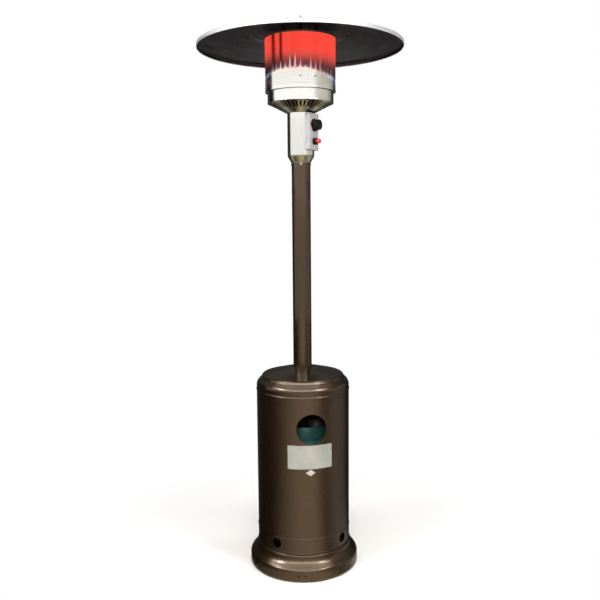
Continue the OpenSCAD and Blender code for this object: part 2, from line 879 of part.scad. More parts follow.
// Path of the cap's sheet at depth t under its outer face, from the spigot to the collar
function cap_path(t) = concat(
    [[spigot_r - t, barrel_top_z - cap_spigot_h], [spigot_r - t, barrel_top_z + seat + t],
        [barrel_r - t, barrel_top_z + seat + t]],
    arc([barrel_r - cap_round_r, barrel_top_z + cap_skirt_h], cap_round_r - t, 0, shoulder_end),
    [[step_r - t, cap_step_z + cap_step_h / 3 - t / 2],
        [step_r - step_in - t, cap_cone_z - step_fall - t / 2],
        [step_r - cone_foot_in, cap_cone_z - t],
        [step_r - crown_in, cap_cone_z + crown_rise_part * cap_cone_h - t]],
    [[collar_r + t, cap_top_z - t], [collar_r + t, cap_top_z - collar_down]]);

module housing_cap() {
    color(bronze) lathe(sheet(cap_path(0), cap_path(barrel_t)));
}

// Keeps the part of a thin skin on the barrel whose outline, seen from straight ahead, is given
module on_barrel(turn) {
    intersection() {
        ring(barrel_r + seat + plate_t, barrel_r + seat, barrel_top_z);
        rotate([0, 0, turn]) rotate([90, 0, 0])
            linear_extrude(height = barrel_r + 2 * cut) children();
    }
}

plate_half = barrel_r * sin(plate_w / 2 / barrel_r * 180 / PI);
plate_z = barrel_z + plate_up;
diamond_z = plate_z - diamond_gap - diamond_h / 2;
diamond_half = diamond_w / 2;

module bare_plate() {
    color(silver_film) on_barrel(plate_turn)
        translate([-plate_half, plate_z]) square([2 * plate_half, plate_h]);
}

module diamond_plate() {
    color(white_film) on_barrel(plate_turn) polygon([[-diamond_half, diamond_z],
        [0, diamond_z - diamond_h / 2], [diamond_half, diamond_z], [0, diamond_z + diamond_h / 2]]);
}

// Head: socket, housing and panel

module head_socket() {
    color(steel) difference() {
        union() {
            translate([0, 0, post_top_z - socket_depth])
                ring(socket_r, socket_r - socket_t, control_z - post_top_z + socket_depth + cut);
            translate([0, 0, control_z + seat])
                ring(control_bore_r - seat, socket_r - socket_t, socket_flange_t);
        }
        head_screw_rods(socket_r - socket_t - cut, socket_r + cut, head_screw_r + run / 2);
    }
}

module head_screws() {
    color(zinc) {
        head_screw_rods(post_r + seat, post_r + head_screw_head_h, head_screw_head_r);
        head_screw_rods(socket_r - socket_t - screw_end, post_r + seat + run, head_screw_r);
    }
}

module control_taper() {
    color(stainless) translate([0, 0, taper_z]) lathe([[post_r + fit, 0],
        [post_r + fit + head_t, 0], [control_r, taper_h - seat], [control_bore_r, taper_h - seat]]);
}

module panel_window() {
    in_panel_frame() translate([0, -window_w / 2, panel_z + window_margin])
        cube([panel_out, window_w, panel_h - 2 * window_margin]);
}

module control_housing() {
    color(stainless) difference() {
        translate([0, 0, control_z]) ring(control_r, control_bore_r, control_h);
        panel_window();
    }
}

module lead_holes(z, h) {
    in_panel_frame() for (spot = lead_spots)
        translate([spot[0], spot[1], z - cut]) cylinder(r = lead_hole_r, h = h + 2 * cut);
}

module head_plate() {
    color(steel) difference() {
        translate([0, 0, head_plate_z])
            ring(control_bore_r - seat, injector_nozzle_r + fit, head_plate_t);
        lead_holes(head_plate_z, head_plate_t);
    }
}

module panel_screw_rods(from, to, r) {
    in_panel_frame() for (side = [-1, 1]) for (level = [panel_screw_inset, panel_h - panel_screw_inset])
        translate([from, side * (panel_w / 2 - panel_screw_inset), panel_z + level])
            rotate([0, 90, 0]) cylinder(r = r, h = to - from);
}

module control_panel() {
    color(panel_grey) difference() {
        in_panel_frame() translate([panel_back, -panel_w / 2, panel_z])
            cube([panel_out - panel_back, panel_w, panel_h]);
        in_panel_frame() translate([panel_back - cut, -panel_w / 2 + panel_t, panel_z + panel_t])
            cube([panel_face_in - panel_back + cut, panel_w - 2 * panel_t, panel_h - 2 * panel_t]);
        translate([0, 0, panel_z - cut]) cylinder(r = control_r + seat, h = panel_h + 2 * cut);
        rod(panel_angle, panel_back, panel_out + cut, knob_z, bush_hole_r);
        rod(panel_angle, panel_back, panel_out + cut, igniter_z, igniter_body_r + fit);
        panel_screw_rods(panel_face_in - cut, panel_out + cut, panel_screw_r + run);
    }
}

module panel_screws() {
    color(zinc) {
        panel_screw_rods(panel_out + seat / 2, panel_out + panel_screw_head_h, panel_screw_head_r);
        panel_screw_rods(panel_face_in - panel_screw_depth, panel_out + panel_screw_head_h / 2,
            panel_screw_r);
    }
}

// Gas valve, spindle and knob

module gas_valve() {
    color(brass) difference() {
        union() {
            in_panel_frame() translate([-valve_back, -valve_w / 2, knob_z - valve_under])
                cube([valve_back + valve_front, valve_w, valve_under + valve_above]);
            translate([0, 0, knob_z - valve_under - inlet_nipple_l])
                cylinder(r = inlet_nipple_r, h = inlet_nipple_l + cut);
        }
        rod(panel_angle, plug_from - seat, valve_front + cut, knob_z, plug_r + run);
    }
}

bush_from = plug_from + plug_l + seat;
bush_to = panel_out + bezel_l - seat;

module valve_bush() {
    color(brass) difference() {
        union() {
            rod(panel_angle, bush_from, valve_front + cut, knob_z, plug_r);
            rod(panel_angle, valve_front + seat, bush_to, knob_z, bush_r);
        }
        rod(panel_angle, bush_from - cut, bush_to + cut, knob_z, spindle_r + run);
    }
}

// Round bar with one flat, as wide across the flat as the flat value
module flatted_rod(from, to, r, flat) {
    difference() {
        rod(panel_angle, from, to, knob_z, r);
        in_panel_frame() translate([from - cut, flat, knob_z - 2 * r])
            cube([to - from + 2 * cut, 2 * r, 4 * r]);
    }
}

module valve_plug() {
    color(steel) difference() {
        rod(panel_angle, plug_from, plug_from + plug_l, knob_z, plug_r);
        flatted_rod(spindle_from - knob_travel - spindle_play, plug_from + plug_l + cut,
            spindle_hole_r, plug_flat + run);
    }
}

module valve_spindle() {
    round_from = bush_from + knob_travel + seat;
    color(steel) {
        flatted_rod(spindle_from, round_from + run, spindle_r, plug_flat);
        rod(panel_angle, round_from, knob_from + knob_socket_l, knob_z, spindle_r);
    }
}

module knob_bezel() {
    color(black) difference() {
        rod(panel_angle, panel_out + seat / 2, panel_out + bezel_l, knob_z, bezel_d / 2);
        rod(panel_angle, panel_out, panel_out + bezel_l + cut, knob_z, bush_r + run);
    }
}

module control_knob() {
    grip_from = knob_from + knob_skirt_l;
    grip_to = knob_from + knob_l;
    color(black) difference() {
        union() {
            rod(panel_angle, knob_from, grip_from, knob_z, knob_d / 2);
            in_panel_frame() translate([grip_from, 0, knob_z]) rotate([0, 90, 0])
                cylinder(r1 = knob_grip_r, r2 = knob_tip_r, h = grip_to - grip_from);
            in_panel_frame() translate([grip_to - cut, -knob_mark_w / 2, knob_z + knob_mark_up])
                cube([cut + knob_mark_h, knob_mark_w, knob_mark_l]);
        }
        rod(panel_angle, knob_from - cut, knob_from + knob_socket_l + seat, knob_z,
            spindle_r + run / 2);
    }
}

// Igniter

module igniter_body() {
    color(black) difference() {
        rod(panel_angle, igniter_from, panel_out + collar_l - collar_lip, igniter_z,
            igniter_body_r);
        rod(panel_angle, igniter_bore_from, panel_out + collar_l, igniter_z, button_r + run);
    }
}

module igniter_collar() {
    color(black) difference() {
        rod(panel_angle, panel_out + seat / 2, panel_out + collar_l, igniter_z, collar_d / 2);
        rod(panel_angle, panel_out, panel_out + collar_l - collar_lip + seat, igniter_z,
            igniter_body_r + run / 2);
        rod(panel_angle, panel_out, panel_out + collar_l + cut, igniter_z, button_r + run);
    }
}

module igniter_button() {
    color(red)
        rod(panel_angle, button_from, panel_out + collar_l + button_out, igniter_z, button_r);
}

// The leads in the panel's frame, each from its own fitting to the pilot bracket
ignition_x = 24;
ignition_route = concat([[ignition_x, -igniter_body_r - seat, igniter_z],
    [ignition_x, -igniter_body_r - lead_stub, igniter_z], [ignition_x, -24, igniter_z + 4]],
    rise(lead_spots[0], lead_turn_z), side_climb(-1));
thermo_route = concat([for (p = [[0, 40, 0], [0, 40, 0.08], [6, 39, 0.26], [16, 34, 0.45]])
        [p[0], p[1], between(switch_top_z + seat, lead_bend_z, p[2])]],
    rise(lead_spots[1], between(switch_top_z, lead_bend_z, 0.65)), side_climb(1));
pilot_route = concat(rise(lead_spots[2], valve_top_z + seat),
    [for (p = [[35, 0.13], [45, 0.24], [60, 0.4], [80, 0.61], [94, 0.78], [100, 0.9], [100, 1]])
        [p[0], 0, between(lead_bend_z, lead_end_z, p[1])]]);

module ignition_lead() {
    color(sleeve) in_panel_frame() cord(ignition_route, lead_d, lead_sides, [1, 0, 0]);
}

module tilt_switch() {
    switch_out = sqrt(pow(control_bore_r, 2) - pow(switch_w / 2, 2)) - seat;
    color(dark_grey) in_panel_frame() translate([-switch_w / 2, switch_in, switch_z])
        cube([switch_w, switch_out - switch_in, switch_h]);
}

module thermocouple_lead() {
    color(copper) in_panel_frame() cord(thermo_route, lead_d, lead_sides, [1, 0, 0]);
}

module pilot_tube() {
    color(zinc) in_panel_frame() cord(pilot_route, lead_d, lead_sides, [0, 1, 0]);
}

pilot_z = pilot_bracket_z + pilot_bracket_t;

module pilot_spot(side, r_from_bracket, r, h) {
    in_panel_frame() translate([pilot_out, side * pilot_spread, r_from_bracket])
        cylinder(r = r, h = h);
}

module pilot_burner() {
    color(steel) difference() {
        union() {
            in_panel_frame() translate([cup_r + fit, -pilot_bracket_w / 2, pilot_bracket_z])
                cube([pilot_bracket_to - cup_r, pilot_bracket_w, pilot_bracket_t]);
            pilot_spot(0, pilot_z - cut, pilot_r, pilot_h);
            pilot_spot(1, pilot_z - cut, sensor_r, electrode_h);
        }
        pilot_spot(-1, pilot_bracket_z - cut, electrode_r + run, pilot_bracket_t + 2 * cut);
        translate([0, 0, pilot_bracket_z - cut])
            cylinder(r = cup_r + fit, h = pilot_bracket_t + 2 * cut);
    }
}

module spark_electrode() {
    color(ceramic) {
        pilot_spot(-1, pilot_bracket_z, electrode_r, electrode_body_h);
        pilot_spot(-1, pilot_bracket_z + electrode_body_h - cut, electrode_wire_r,
            electrode_wire_l + cut);
    }
}

// Burner

module gas_tube() {
    color(zinc) translate([0, 0, valve_top_z + seat]) cylinder(r = gas_tube_r, h = gas_tube_l);
}

module injector() {
    color(brass) translate([0, 0, injector_z]) {
        cylinder(r = injector_r, h = injector_h, $fn = 6);
        cylinder(r = injector_nozzle_r, h = bowl_z - injector_z + injector_reach);
    }
}

module burner_tube() {
    color(stainless) difference() {
        translate([0, 0, bowl_z + head_t + seat])
            ring(tube_r, tube_r - tube_t, tube_top_z - bowl_z - head_t - seat);
        for (turn = [45, 135])
            rod(turn, -tube_r - cut, tube_r + cut, bowl_z + air_window_up, air_window_r);
    }
}

cup_outline = sheet(
    [[tube_r + cup_lap, cup_z], [cup_r, cup_z + cup_rise],
        [cup_r, cup_z + cup_rise + cup_rim_h]],
    [[tube_r + cup_lap, cup_z + cup_t], [cup_r - cup_t, cup_z + cup_rise + cup_t / 2],
        [cup_r - cup_t, cup_z + cup_rise + cup_rim_h]]);

module burner_cup() {
    color(stainless) {
        lathe(cup_outline);
        translate([0, 0, cup_z]) ring(tube_r + cup_lap + cut, tube_r - tube_t, cup_t);
    }
}

module burner_plate() {
    row_gap = (cup_r - port_margin) / port_rows;
    color(steel) translate([0, 0, burner_plate_z]) difference() {
        cylinder(r = cup_r - cup_t - seat, h = plate_thick);
        for (row = [1:port_rows]) for (i = [0:6 * row - 1])
            rotate([0, 0, i * 60 / row]) translate([row * row_gap, 0, -cut])
                cylinder(d = port_d, h = plate_thick + 2 * cut, $fn = 16);
    }
}

// Bowl, band and emitter

function bowl_path(t) = [[tube_r + bowl_lap, bowl_z + t], [control_r - t, bowl_z + t],
    [bowl_r - t, bowl_top_z - head_t + t], [band_r, bowl_top_z - head_t + t]];

module slotted_bowl() {
    color(stainless) difference() {
        union() {
            lathe(sheet(bowl_path(0), bowl_path(head_t)));
            translate([0, 0, bowl_z]) ring(tube_r + bowl_lap + cut, injector_nozzle_r + fit, head_t);
        }
        for (i = [0:slot_count - 1]) rotate([0, 0, i * 360 / slot_count])
            translate([slot_r, -slot_w / 2, bowl_z + head_t])
                cube([bowl_r - slot_r - slot_end, slot_w, bowl_h - 3 * head_t]);
        lead_holes(bowl_z, head_t);
    }
}

module pot_band() {
    color(stainless) translate([0, 0, band_z]) ring(band_r, band_r - head_t, band_h);
}

module emitter_ring() {
    color(stainless) {
        translate([0, 0, ring_z]) ring(emitter_r + head_t, band_r - ring_inset, head_t);
        translate([0, 0, ring_z - lip_h]) ring(emitter_r + head_t, emitter_r, lip_h + cut / 2);
    }
}

module emitter_screw_rods(from, to, r) {
    for (turn = emitter_screw_turns) rod(turn, from, to, emitter_z + emitter_screw_up, r);
}

module emitter_screen() {
    color(heated_steel) difference() {
        translate([0, 0, emitter_z]) ring(emitter_r, emitter_r - emitter_t, emitter_h);
        emitter_screw_rods(emitter_r - emitter_t - cut, emitter_r + cut, emitter_screw_r / 2 + run);
    }
}

module emitter_screws() {
    color(steel) {
        emitter_screw_rods(emitter_r + seat, emitter_r + emitter_screw_h, emitter_screw_r);
        emitter_screw_rods(emitter_r - emitter_screw_depth, emitter_r + emitter_screw_h / 2,
            emitter_screw_r / 2);
    }
}

module stud_spots() {
    for (turn = stud_turns) rotate([0, 0, turn]) translate([stud_circle_d / 2, 0, 0]) children();
}

module top_plate() {
    color(stainless) difference() {
        union() {
            translate([0, 0, top_plate_z]) cylinder(r = emitter_r + head_t + seat, h = top_plate_t);
            translate([0, 0, top_plate_z - lip_h])
                ring(emitter_r + head_t + seat, emitter_r + seat, lip_h + cut / 2);
        }
        stud_spots() translate([0, 0, top_plate_z - cut])
            cylinder(r = stud_hole_r, h = top_plate_t + 2 * cut);
    }
}

// Reflector and its fixings

module reflector_studs() {
    color(zinc) stud_spots() {
        translate([0, 0, top_plate_z - stud_head_h - seat])
            cylinder(r = stud_head_r, h = stud_head_h, $fn = 6);
        translate([0, 0, top_plate_z - stud_head_h])
            cylinder(r = stud_r, h = reflector_top_z + stud_above - top_plate_z + stud_head_h);
    }
}

module reflector_spacers() {
    color(zinc) stud_spots() translate([0, 0, spacer_z]) ring(spacer_r, stud_hole_r, spacer_l);
}

reflector_r = reflector_d / 2;
ring_r = ring_d / 2;
crown_r = crown_d / 2;
// The two cones rise alike, with the pressed ring between them
cone_rise = (reflector_h - rim_h - ring_h) / (reflector_r - crown_r);
ring_foot_z = reflector_rim_z + rim_h + cone_rise * (reflector_r - ring_r);

function reflector_path(t) = [[reflector_r - t, reflector_rim_z],
    [reflector_r - t, reflector_rim_z + rim_h - t / 2], [ring_r + ring_h, ring_foot_z - t],
    [ring_r, ring_foot_z + ring_h - t], [crown_r, reflector_top_z - t],
    [0, reflector_top_z - t]];

module reflector() {
    color(aluminium) difference() {
        lathe(sheet(reflector_path(0), reflector_path(reflector_t)));
        stud_spots() translate([0, 0, reflector_under_z - cut])
            cylinder(r = stud_hole_r, h = reflector_t + 2 * cut);
    }
}

module wing_nuts() {
    nut_z = reflector_top_z + seat + washer_t + seat;
    color(zinc) stud_spots() {
        translate([0, 0, reflector_top_z + seat]) ring(washer_r, stud_hole_r, washer_t);
        difference() {
            union() {
                translate([0, 0, nut_z]) cylinder(r = wing_hub_r, h = wing_hub_h);
                translate([-wing_span / 2, -wing_t / 2, nut_z + wing_hub_h / 3])
                    cube([wing_span, wing_t, wing_h]);
            }
            translate([0, 0, nut_z - cut])
                cylinder(r = stud_r + run / 2, h = wing_hub_h + wing_h + 2 * cut);
        }
    }
}

base_pan();
base_bottom_plate();
ballast_disc();
leg_right();
leg_left();
leg_rear();
leg_bolts();
leg_nuts();
post();
gas_bottle();
bottle_foot_ring();
bottle_guard();
bottle_valve();
bottle_handwheel();
regulator();
regulator_nut();
hose_fittings();
gas_hose();
housing_barrel();
housing_cap();
bare_plate();
diamond_plate();
head_socket();
head_screws();
control_taper();
control_housing();
head_plate();
control_panel();
panel_screws();
gas_valve();
valve_bush();
valve_plug();
valve_spindle();
control_knob();
knob_bezel();
igniter_body();
igniter_collar();
igniter_button();
ignition_lead();
tilt_switch();
thermocouple_lead();
pilot_tube();
pilot_burner();
spark_electrode();
gas_tube();
injector();
burner_tube();
burner_cup();
burner_plate();
slotted_bowl();
pot_band();
emitter_ring();
emitter_screen();
emitter_screws();
top_plate();
reflector_studs();
reflector_spacers();
reflector();
wing_nuts();
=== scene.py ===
"""Gas umbrella patio heater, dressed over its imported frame. Metres, +Z up, the hand hole looks along -Y."""
import math

import bpy
import numpy as np
from mathutils import Euler, Matrix, Vector


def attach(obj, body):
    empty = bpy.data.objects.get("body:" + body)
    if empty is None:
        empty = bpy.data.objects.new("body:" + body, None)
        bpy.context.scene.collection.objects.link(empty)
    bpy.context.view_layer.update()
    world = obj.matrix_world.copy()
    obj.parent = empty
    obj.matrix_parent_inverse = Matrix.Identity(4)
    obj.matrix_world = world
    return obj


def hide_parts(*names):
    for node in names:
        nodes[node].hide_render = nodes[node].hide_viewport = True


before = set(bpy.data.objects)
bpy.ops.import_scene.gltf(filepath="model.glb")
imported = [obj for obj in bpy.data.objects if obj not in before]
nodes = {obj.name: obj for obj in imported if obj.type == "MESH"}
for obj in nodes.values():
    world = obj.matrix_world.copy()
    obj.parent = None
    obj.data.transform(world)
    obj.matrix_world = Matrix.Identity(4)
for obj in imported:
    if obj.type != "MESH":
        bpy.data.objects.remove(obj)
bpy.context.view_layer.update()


# Camera
# Stands 2.94 m in front of the post at a height of 1.46 m and looks 6.9 degrees down. The lens gives the
# photograph's 45 degrees, and the heater leans half a degree to the left in the picture.
def placed(name, data):
    """A new object with this data, put into the scene."""
    thing = bpy.data.objects.new(name, data)
    bpy.context.scene.collection.objects.link(thing)
    return thing


camera_spot, looks_down, leans = (-0.0086, -2.936, 1.4646), 6.93, -0.47
camera_data = bpy.data.cameras.new("camera")
camera_data.lens = 43.22
camera_data.sensor_width = 36
camera = placed("camera", camera_data)
look = Euler((math.radians(90 - looks_down), 0, 0)).to_matrix()
lean = Matrix.Rotation(math.radians(leans), 3, "Z")
camera.matrix_world = Matrix.Translation(camera_spot) @ (look @ lean).to_4x4()
bpy.context.scene.camera = camera
bpy.context.scene.view_settings.view_transform = "Standard"


# Studio
# A white floor and white surroundings, with five soft boxes. Round the set hang rings that only bright metal
# and gloss show: cloths, white in front, grey at the right and dark at the left and behind, a high ring of
# cards for the bright spots on the shoulders, a ceiling with a skylight, and a shade over the reflector.
def colour(code):
    """The linear colour of an sRGB hex code."""
    c = np.array([int(code[i : i + 2], 16) for i in (1, 3, 5)]) / 255
    c = np.where(c <= 0.04045, c / 12.92, ((c + 0.055) / 1.055) ** 2.4)
    return (*c.tolist(), 1.0)


def blank(name):
    """A new material with no nodes in it."""
    material = bpy.data.materials.new(name)
    material.use_nodes = True
    material.node_tree.nodes.clear()
    return material


def add(owner, kind, sockets=None, stops=(), **settings):
    """Adds a node with its settings. Each socket gets a value, or a link from a (node, output) pair, and a
    colour ramp gets its stops as (place, hex colour) pairs."""
    tree = owner.node_tree
    made = tree.nodes.new(kind)
    for key, value in settings.items():
        setattr(made, key, value)
    for key, value in (sockets or {}).items():
        if isinstance(value, tuple) and isinstance(value[0], bpy.types.Node):
            tree.links.new(value[0].outputs[value[1]], made.inputs[key])
        else:
            made.inputs[key].default_value = value
    for i, (place, code) in enumerate(stops):
        band = made.color_ramp.elements
        stop = band[i] if i < len(band) else band.new(place)
        stop.position = place
        stop.color = colour(code)
    return made


def seen_rays(owner):
    """One where a camera, glossy or transmission ray looks, and zero for the rest."""
    path = add(owner, "ShaderNodeLightPath")
    seen = add(owner, "ShaderNodeMath", {0: (path, "Is Camera Ray"), 1: (path, "Is Glossy Ray")},
               operation="MAXIMUM")
    return add(owner, "ShaderNodeMath", {0: (seen, 0), 1: (path, "Is Transmission Ray")},
               operation="MAXIMUM")


world = bpy.data.worlds.new("studio")
bpy.context.scene.world = world
world.use_nodes = True
world.node_tree.nodes.clear()
seen = seen_rays(world)
white = add(world, "ShaderNodeBackground", {"Color": colour("#ffffff"), "Strength": 1.0})
fill = add(world, "ShaderNodeBackground", {"Color": colour("#f4f6f8"), "Strength": 0.5})
both = add(world, "ShaderNodeMixShader", {0: (seen, 0), 1: (fill, 0), 2: (white, 0)})
add(world, "ShaderNodeOutputWorld", {"Surface": (both, 0)})


# Matt white paper: within 0.3 m of the post it takes the shadow, and by 1.3 m it has turned plain white.
shadow_whole, shadow_gone = 0.3, 1.3
floor_paper = blank("studio paper, matt white")
place = add(floor_paper, "ShaderNodeTexCoord")
far = add(floor_paper, "ShaderNodeVectorMath", {0: (place, "Object")}, operation="LENGTH")
far = add(floor_paper, "ShaderNodeMapRange", {
    0: (far, "Value"), 1: shadow_whole, 2: shadow_gone, 3: 0.0, 4: 1.0}, interpolation_type="SMOOTHERSTEP")
glow = add(floor_paper, "ShaderNodeMath", {0: (seen_rays(floor_paper), 0), 1: (far, 0)},
           operation="MULTIPLY")
paper = add(floor_paper, "ShaderNodeBsdfDiffuse", {"Color": colour("#f8f8f8")})
light = add(floor_paper, "ShaderNodeEmission", {"Color": colour("#ffffff"), "Strength": 1.0})
mixed = add(floor_paper, "ShaderNodeMixShader", {0: (glow, 0), 1: (paper, 0), 2: (light, 0)})
add(floor_paper, "ShaderNodeOutputMaterial", {"Surface": (mixed, 0)})
floor_reach, floor_level = 12, -0.0005
floor_data = bpy.data.meshes.new("floor")
floor_data.from_pydata([(floor_reach * x, floor_reach * y, floor_level)
                        for x, y in ((-1, -1), (1, -1), (1, 1), (-1, 1))], [], [(0, 1, 2, 3)])
floor_data.materials.append(floor_paper)
placed("floor", floor_data)


def net(rows, columns, wrap=True, start=0):
    """Four-cornered faces between rows of points. With wrap, the last column joins the first."""
    i, j = np.meshgrid(np.arange(rows - 1), np.arange(columns if wrap else columns - 1), indexing="ij")
    k = (j + 1) % columns
    corners = [i * columns + j, i * columns + k, (i + 1) * columns + k, (i + 1) * columns + j]
    return start + np.stack(corners, -1)


def around(profile, angles):
    """Turns a profile of (radius, height) through the angles, in radians: x = r cos a, y = r sin a."""
    r, z = np.asarray(profile, float).T
    a = np.asarray(angles, float)
    return np.stack([r[:, None] * np.cos(a), r[:, None] * np.sin(a), np.repeat(z[:, None], len(a), 1)], -1)


def cloth_colours(front):
    """The colours round a ring of cloth, from behind (0) by the left, the front (0.5) and the right to behind
    again (1): dim grey, black, the given white in front, greys and dim grey."""
    return ((0.0, "#404040"), (0.12, "#404040"), (0.155, "#080808"), (0.215, "#000000"), (0.235, front),
            (0.615, front), (0.655, "#cbc8c0"), (0.77, "#bab7ae"), (0.83, "#8a8880"), (0.865, "#101010"),
            (0.92, "#404040"))


# Each ring has its strength, its profile of (radius, height) in metres and its colours round it.
ring_sides = 48
all_white = ((0.0, "#ffffff"), (1.0, "#ffffff"))
for name, strength, profile, stops in (
    ("cloths_low", 1.0, [(0.235, 0.003), (1.15, 0.003), (1.15, 0.8)], (
        (0.0, "#4a4640"), (0.12, "#302d29"), (0.2, "#0c0c0c"), (0.28, "#050505"), (0.318, "#403d37"),
        (0.35, "#807a6e"), (0.41, "#c8beac"), (0.47, "#f4e8d2"), (0.51, "#fff2db"), (0.555, "#fff2db"),
        (0.6, "#d0c6b3"), (0.63, "#8a8377"), (0.655, "#8a857c"), (0.71, "#b0aca4"), (0.78, "#8a8781"),
        (0.83, "#4a4845"), (0.865, "#0c0c0c"), (0.93, "#302d29"), (1.0, "#4a4640"))),
    ("cloths_middle", 1.0, [(2.8, 0.5), (2.8, 1.85)], cloth_colours("#d8d8d6")),
    ("cloths_below", 1.0, [(2.8, 0.02), (2.8, 0.5)], (
        (0.0, "#000000"), (0.22, "#000000"), (0.24, "#ffffff"), (0.8, "#c8c8c8"), (0.97, "#a8a8a8"),
        (0.99, "#000000"))),
    ("cloths_of_housing", 1.0, [(1.0, 1.72), (1.0, 1.97)], cloth_colours("#f4f4f2")),
    ("cloths_of_burner", 1.1, [(1.0, 1.97), (1.0, 2.42)], cloth_colours("#ffffff")),
    ("cloths_far", 1.0, [(8, 1.9), (8, 5.7)], (
        (0.0, "#606060"), (0.25, "#606060"), (0.3, "#ffffff"), (0.67, "#ffffff"), (0.73, "#505050"))),
    ("cards", 20.0, [(8, 5.7), (8, 8.2)], (
        (0.0, "#161616"), (0.24, "#161616"), (0.27, "#9a9a9a"), (0.3, "#9a9a9a"), (0.305, "#ffffff"),
        (0.345, "#ffffff"), (0.35, "#9a9a9a"), (0.605, "#9a9a9a"), (0.61, "#ffffff"), (0.645, "#ffffff"),
        (0.65, "#9a9a9a"), (0.67, "#9a9a9a"), (0.7, "#161616"), (1.0, "#161616"))),
    ("ceiling", 1.8, [(8, 8.2), (5, 9.8)], (
        (0.0, "#404040"), (0.25, "#404040"), (0.3, "#ffffff"), (0.67, "#ffffff"), (0.75, "#404040"))),
    ("shade", 0.6, [(0.66, 2.42), (0.02, 2.48)], all_white),
    ("skylight", 1.9, [(5, 9.8), (0.5, 12)], all_white),
):
    cloth = blank("studio " + name.replace("_", " "))
    where = add(cloth, "ShaderNodeTexCoord")
    part = add(cloth, "ShaderNodeSeparateXYZ", {0: (where, "Object")})
    back = add(cloth, "ShaderNodeMath", {0: (part, "Y"), 1: -1.0}, operation="MULTIPLY")
    turn = add(cloth, "ShaderNodeMath", {0: (part, "X"), 1: (back, 0)}, operation="ARCTAN2")
    place = add(cloth, "ShaderNodeMapRange", {0: (turn, 0), 1: -math.pi, 2: math.pi, 3: 0.0, 4: 1.0})
    shade = add(cloth, "ShaderNodeValToRGB", {0: (place, 0)}, stops)
    dyed = add(cloth, "ShaderNodeEmission", {"Color": (shade, 0), "Strength": strength})
    add(cloth, "ShaderNodeOutputMaterial", {"Surface": (dyed, 0)})
    data = bpy.data.meshes.new(name)
    points = around(profile, np.arange(ring_sides) * 2 * math.pi / ring_sides)
    data.from_pydata(points.reshape(-1, 3).tolist(), [],
                     net(len(profile), ring_sides).reshape(-1, 4).tolist())
    data.materials.append(cloth)
    hung = placed(name, data)
    hung.visible_camera = False
    hung.visible_diffuse = False
    hung.visible_shadow = False
    hung.visible_transmission = False

lamps_face = Vector((0, 0, 1.0))
for name, spot, wide, high, power in (
    ("soft_box_left", (-2.1, -1.6, 3.0), 1.0, 1.4, 60),
    ("soft_box_right", (2.0, -1.9, 3.0), 1.0, 1.4, 50),
    ("soft_box_front", (-0.5, -3.9, 2.3), 1.6, 2.0, 55),
    ("soft_box_side", (3.2, 0.4, 1.5), 0.7, 2.4, 42),
    ("soft_box_top", (0.1, -1.35, 3.0), 0.5, 0.5, 20),
):
    lamp = bpy.data.lights.new(name, "AREA")
    lamp.shape = "RECTANGLE"
    lamp.size = wide
    lamp.size_y = high
    lamp.energy = power
    lamp.color = colour("#fff9f2")[:3]
    box = placed(name, lamp)
    aim = (lamps_face - Vector(spot)).to_track_quat("-Z", "Y")
    box.matrix_world = Matrix.Translation(spot) @ aim.to_matrix().to_4x4()
    box.visible_glossy = False


# Base
# A pressed steel pan with a rolled foot, a round shoulder and a neck, enamelled hammered bronze. Two screw
# holes sit low in front and one to the right. It is drawn as one sheet turned round the post's axis.
def turn_of(degrees):
    """Radians of a turn from the front towards the right."""
    return math.radians(degrees - 90)


def arc(cx, cz, r, start, end, steps=12):
    """Points on a circle of radius r about (cx, cz), from one angle to another."""
    a = np.radians(np.linspace(start, end, steps + 1))
    return np.stack([cx + r * np.cos(a), cz + r * np.sin(a)], 1)


def softened(corners, radius, steps=4, closed=False):
    """Each corner of a line of points becomes a curve (1-s)^2 p + 2s(1-s) corner + s^2 q, where p and q
    lie on its two sides at the given distance or at under half their length."""
    p = np.asarray(corners, float)
    u, v = np.roll(p, 1, 0) - p, np.roll(p, -1, 0) - p
    lu, lv = np.linalg.norm(u, axis=1), np.linalg.norm(v, axis=1)
    reach = np.minimum(np.broadcast_to(radius, lu.shape), 0.45 * np.minimum(lu, lv))
    if not closed:
        reach = reach * np.r_[0, np.ones(len(p) - 2), 0]
    a = (p + u * (reach / lu)[:, None])[:, None]
    b = (p + v * (reach / lv)[:, None])[:, None]
    s = np.linspace(0, 1, steps + 1)[None, :, None]
    curve = ((1 - s) ** 2 * a + 2 * s * (1 - s) * p[:, None] + s**2 * b).reshape(-1, p.shape[1])
    return curve[np.r_[True, np.linalg.norm(np.diff(curve, axis=0), axis=1) > 1e-6]]


millimetre = 0.001


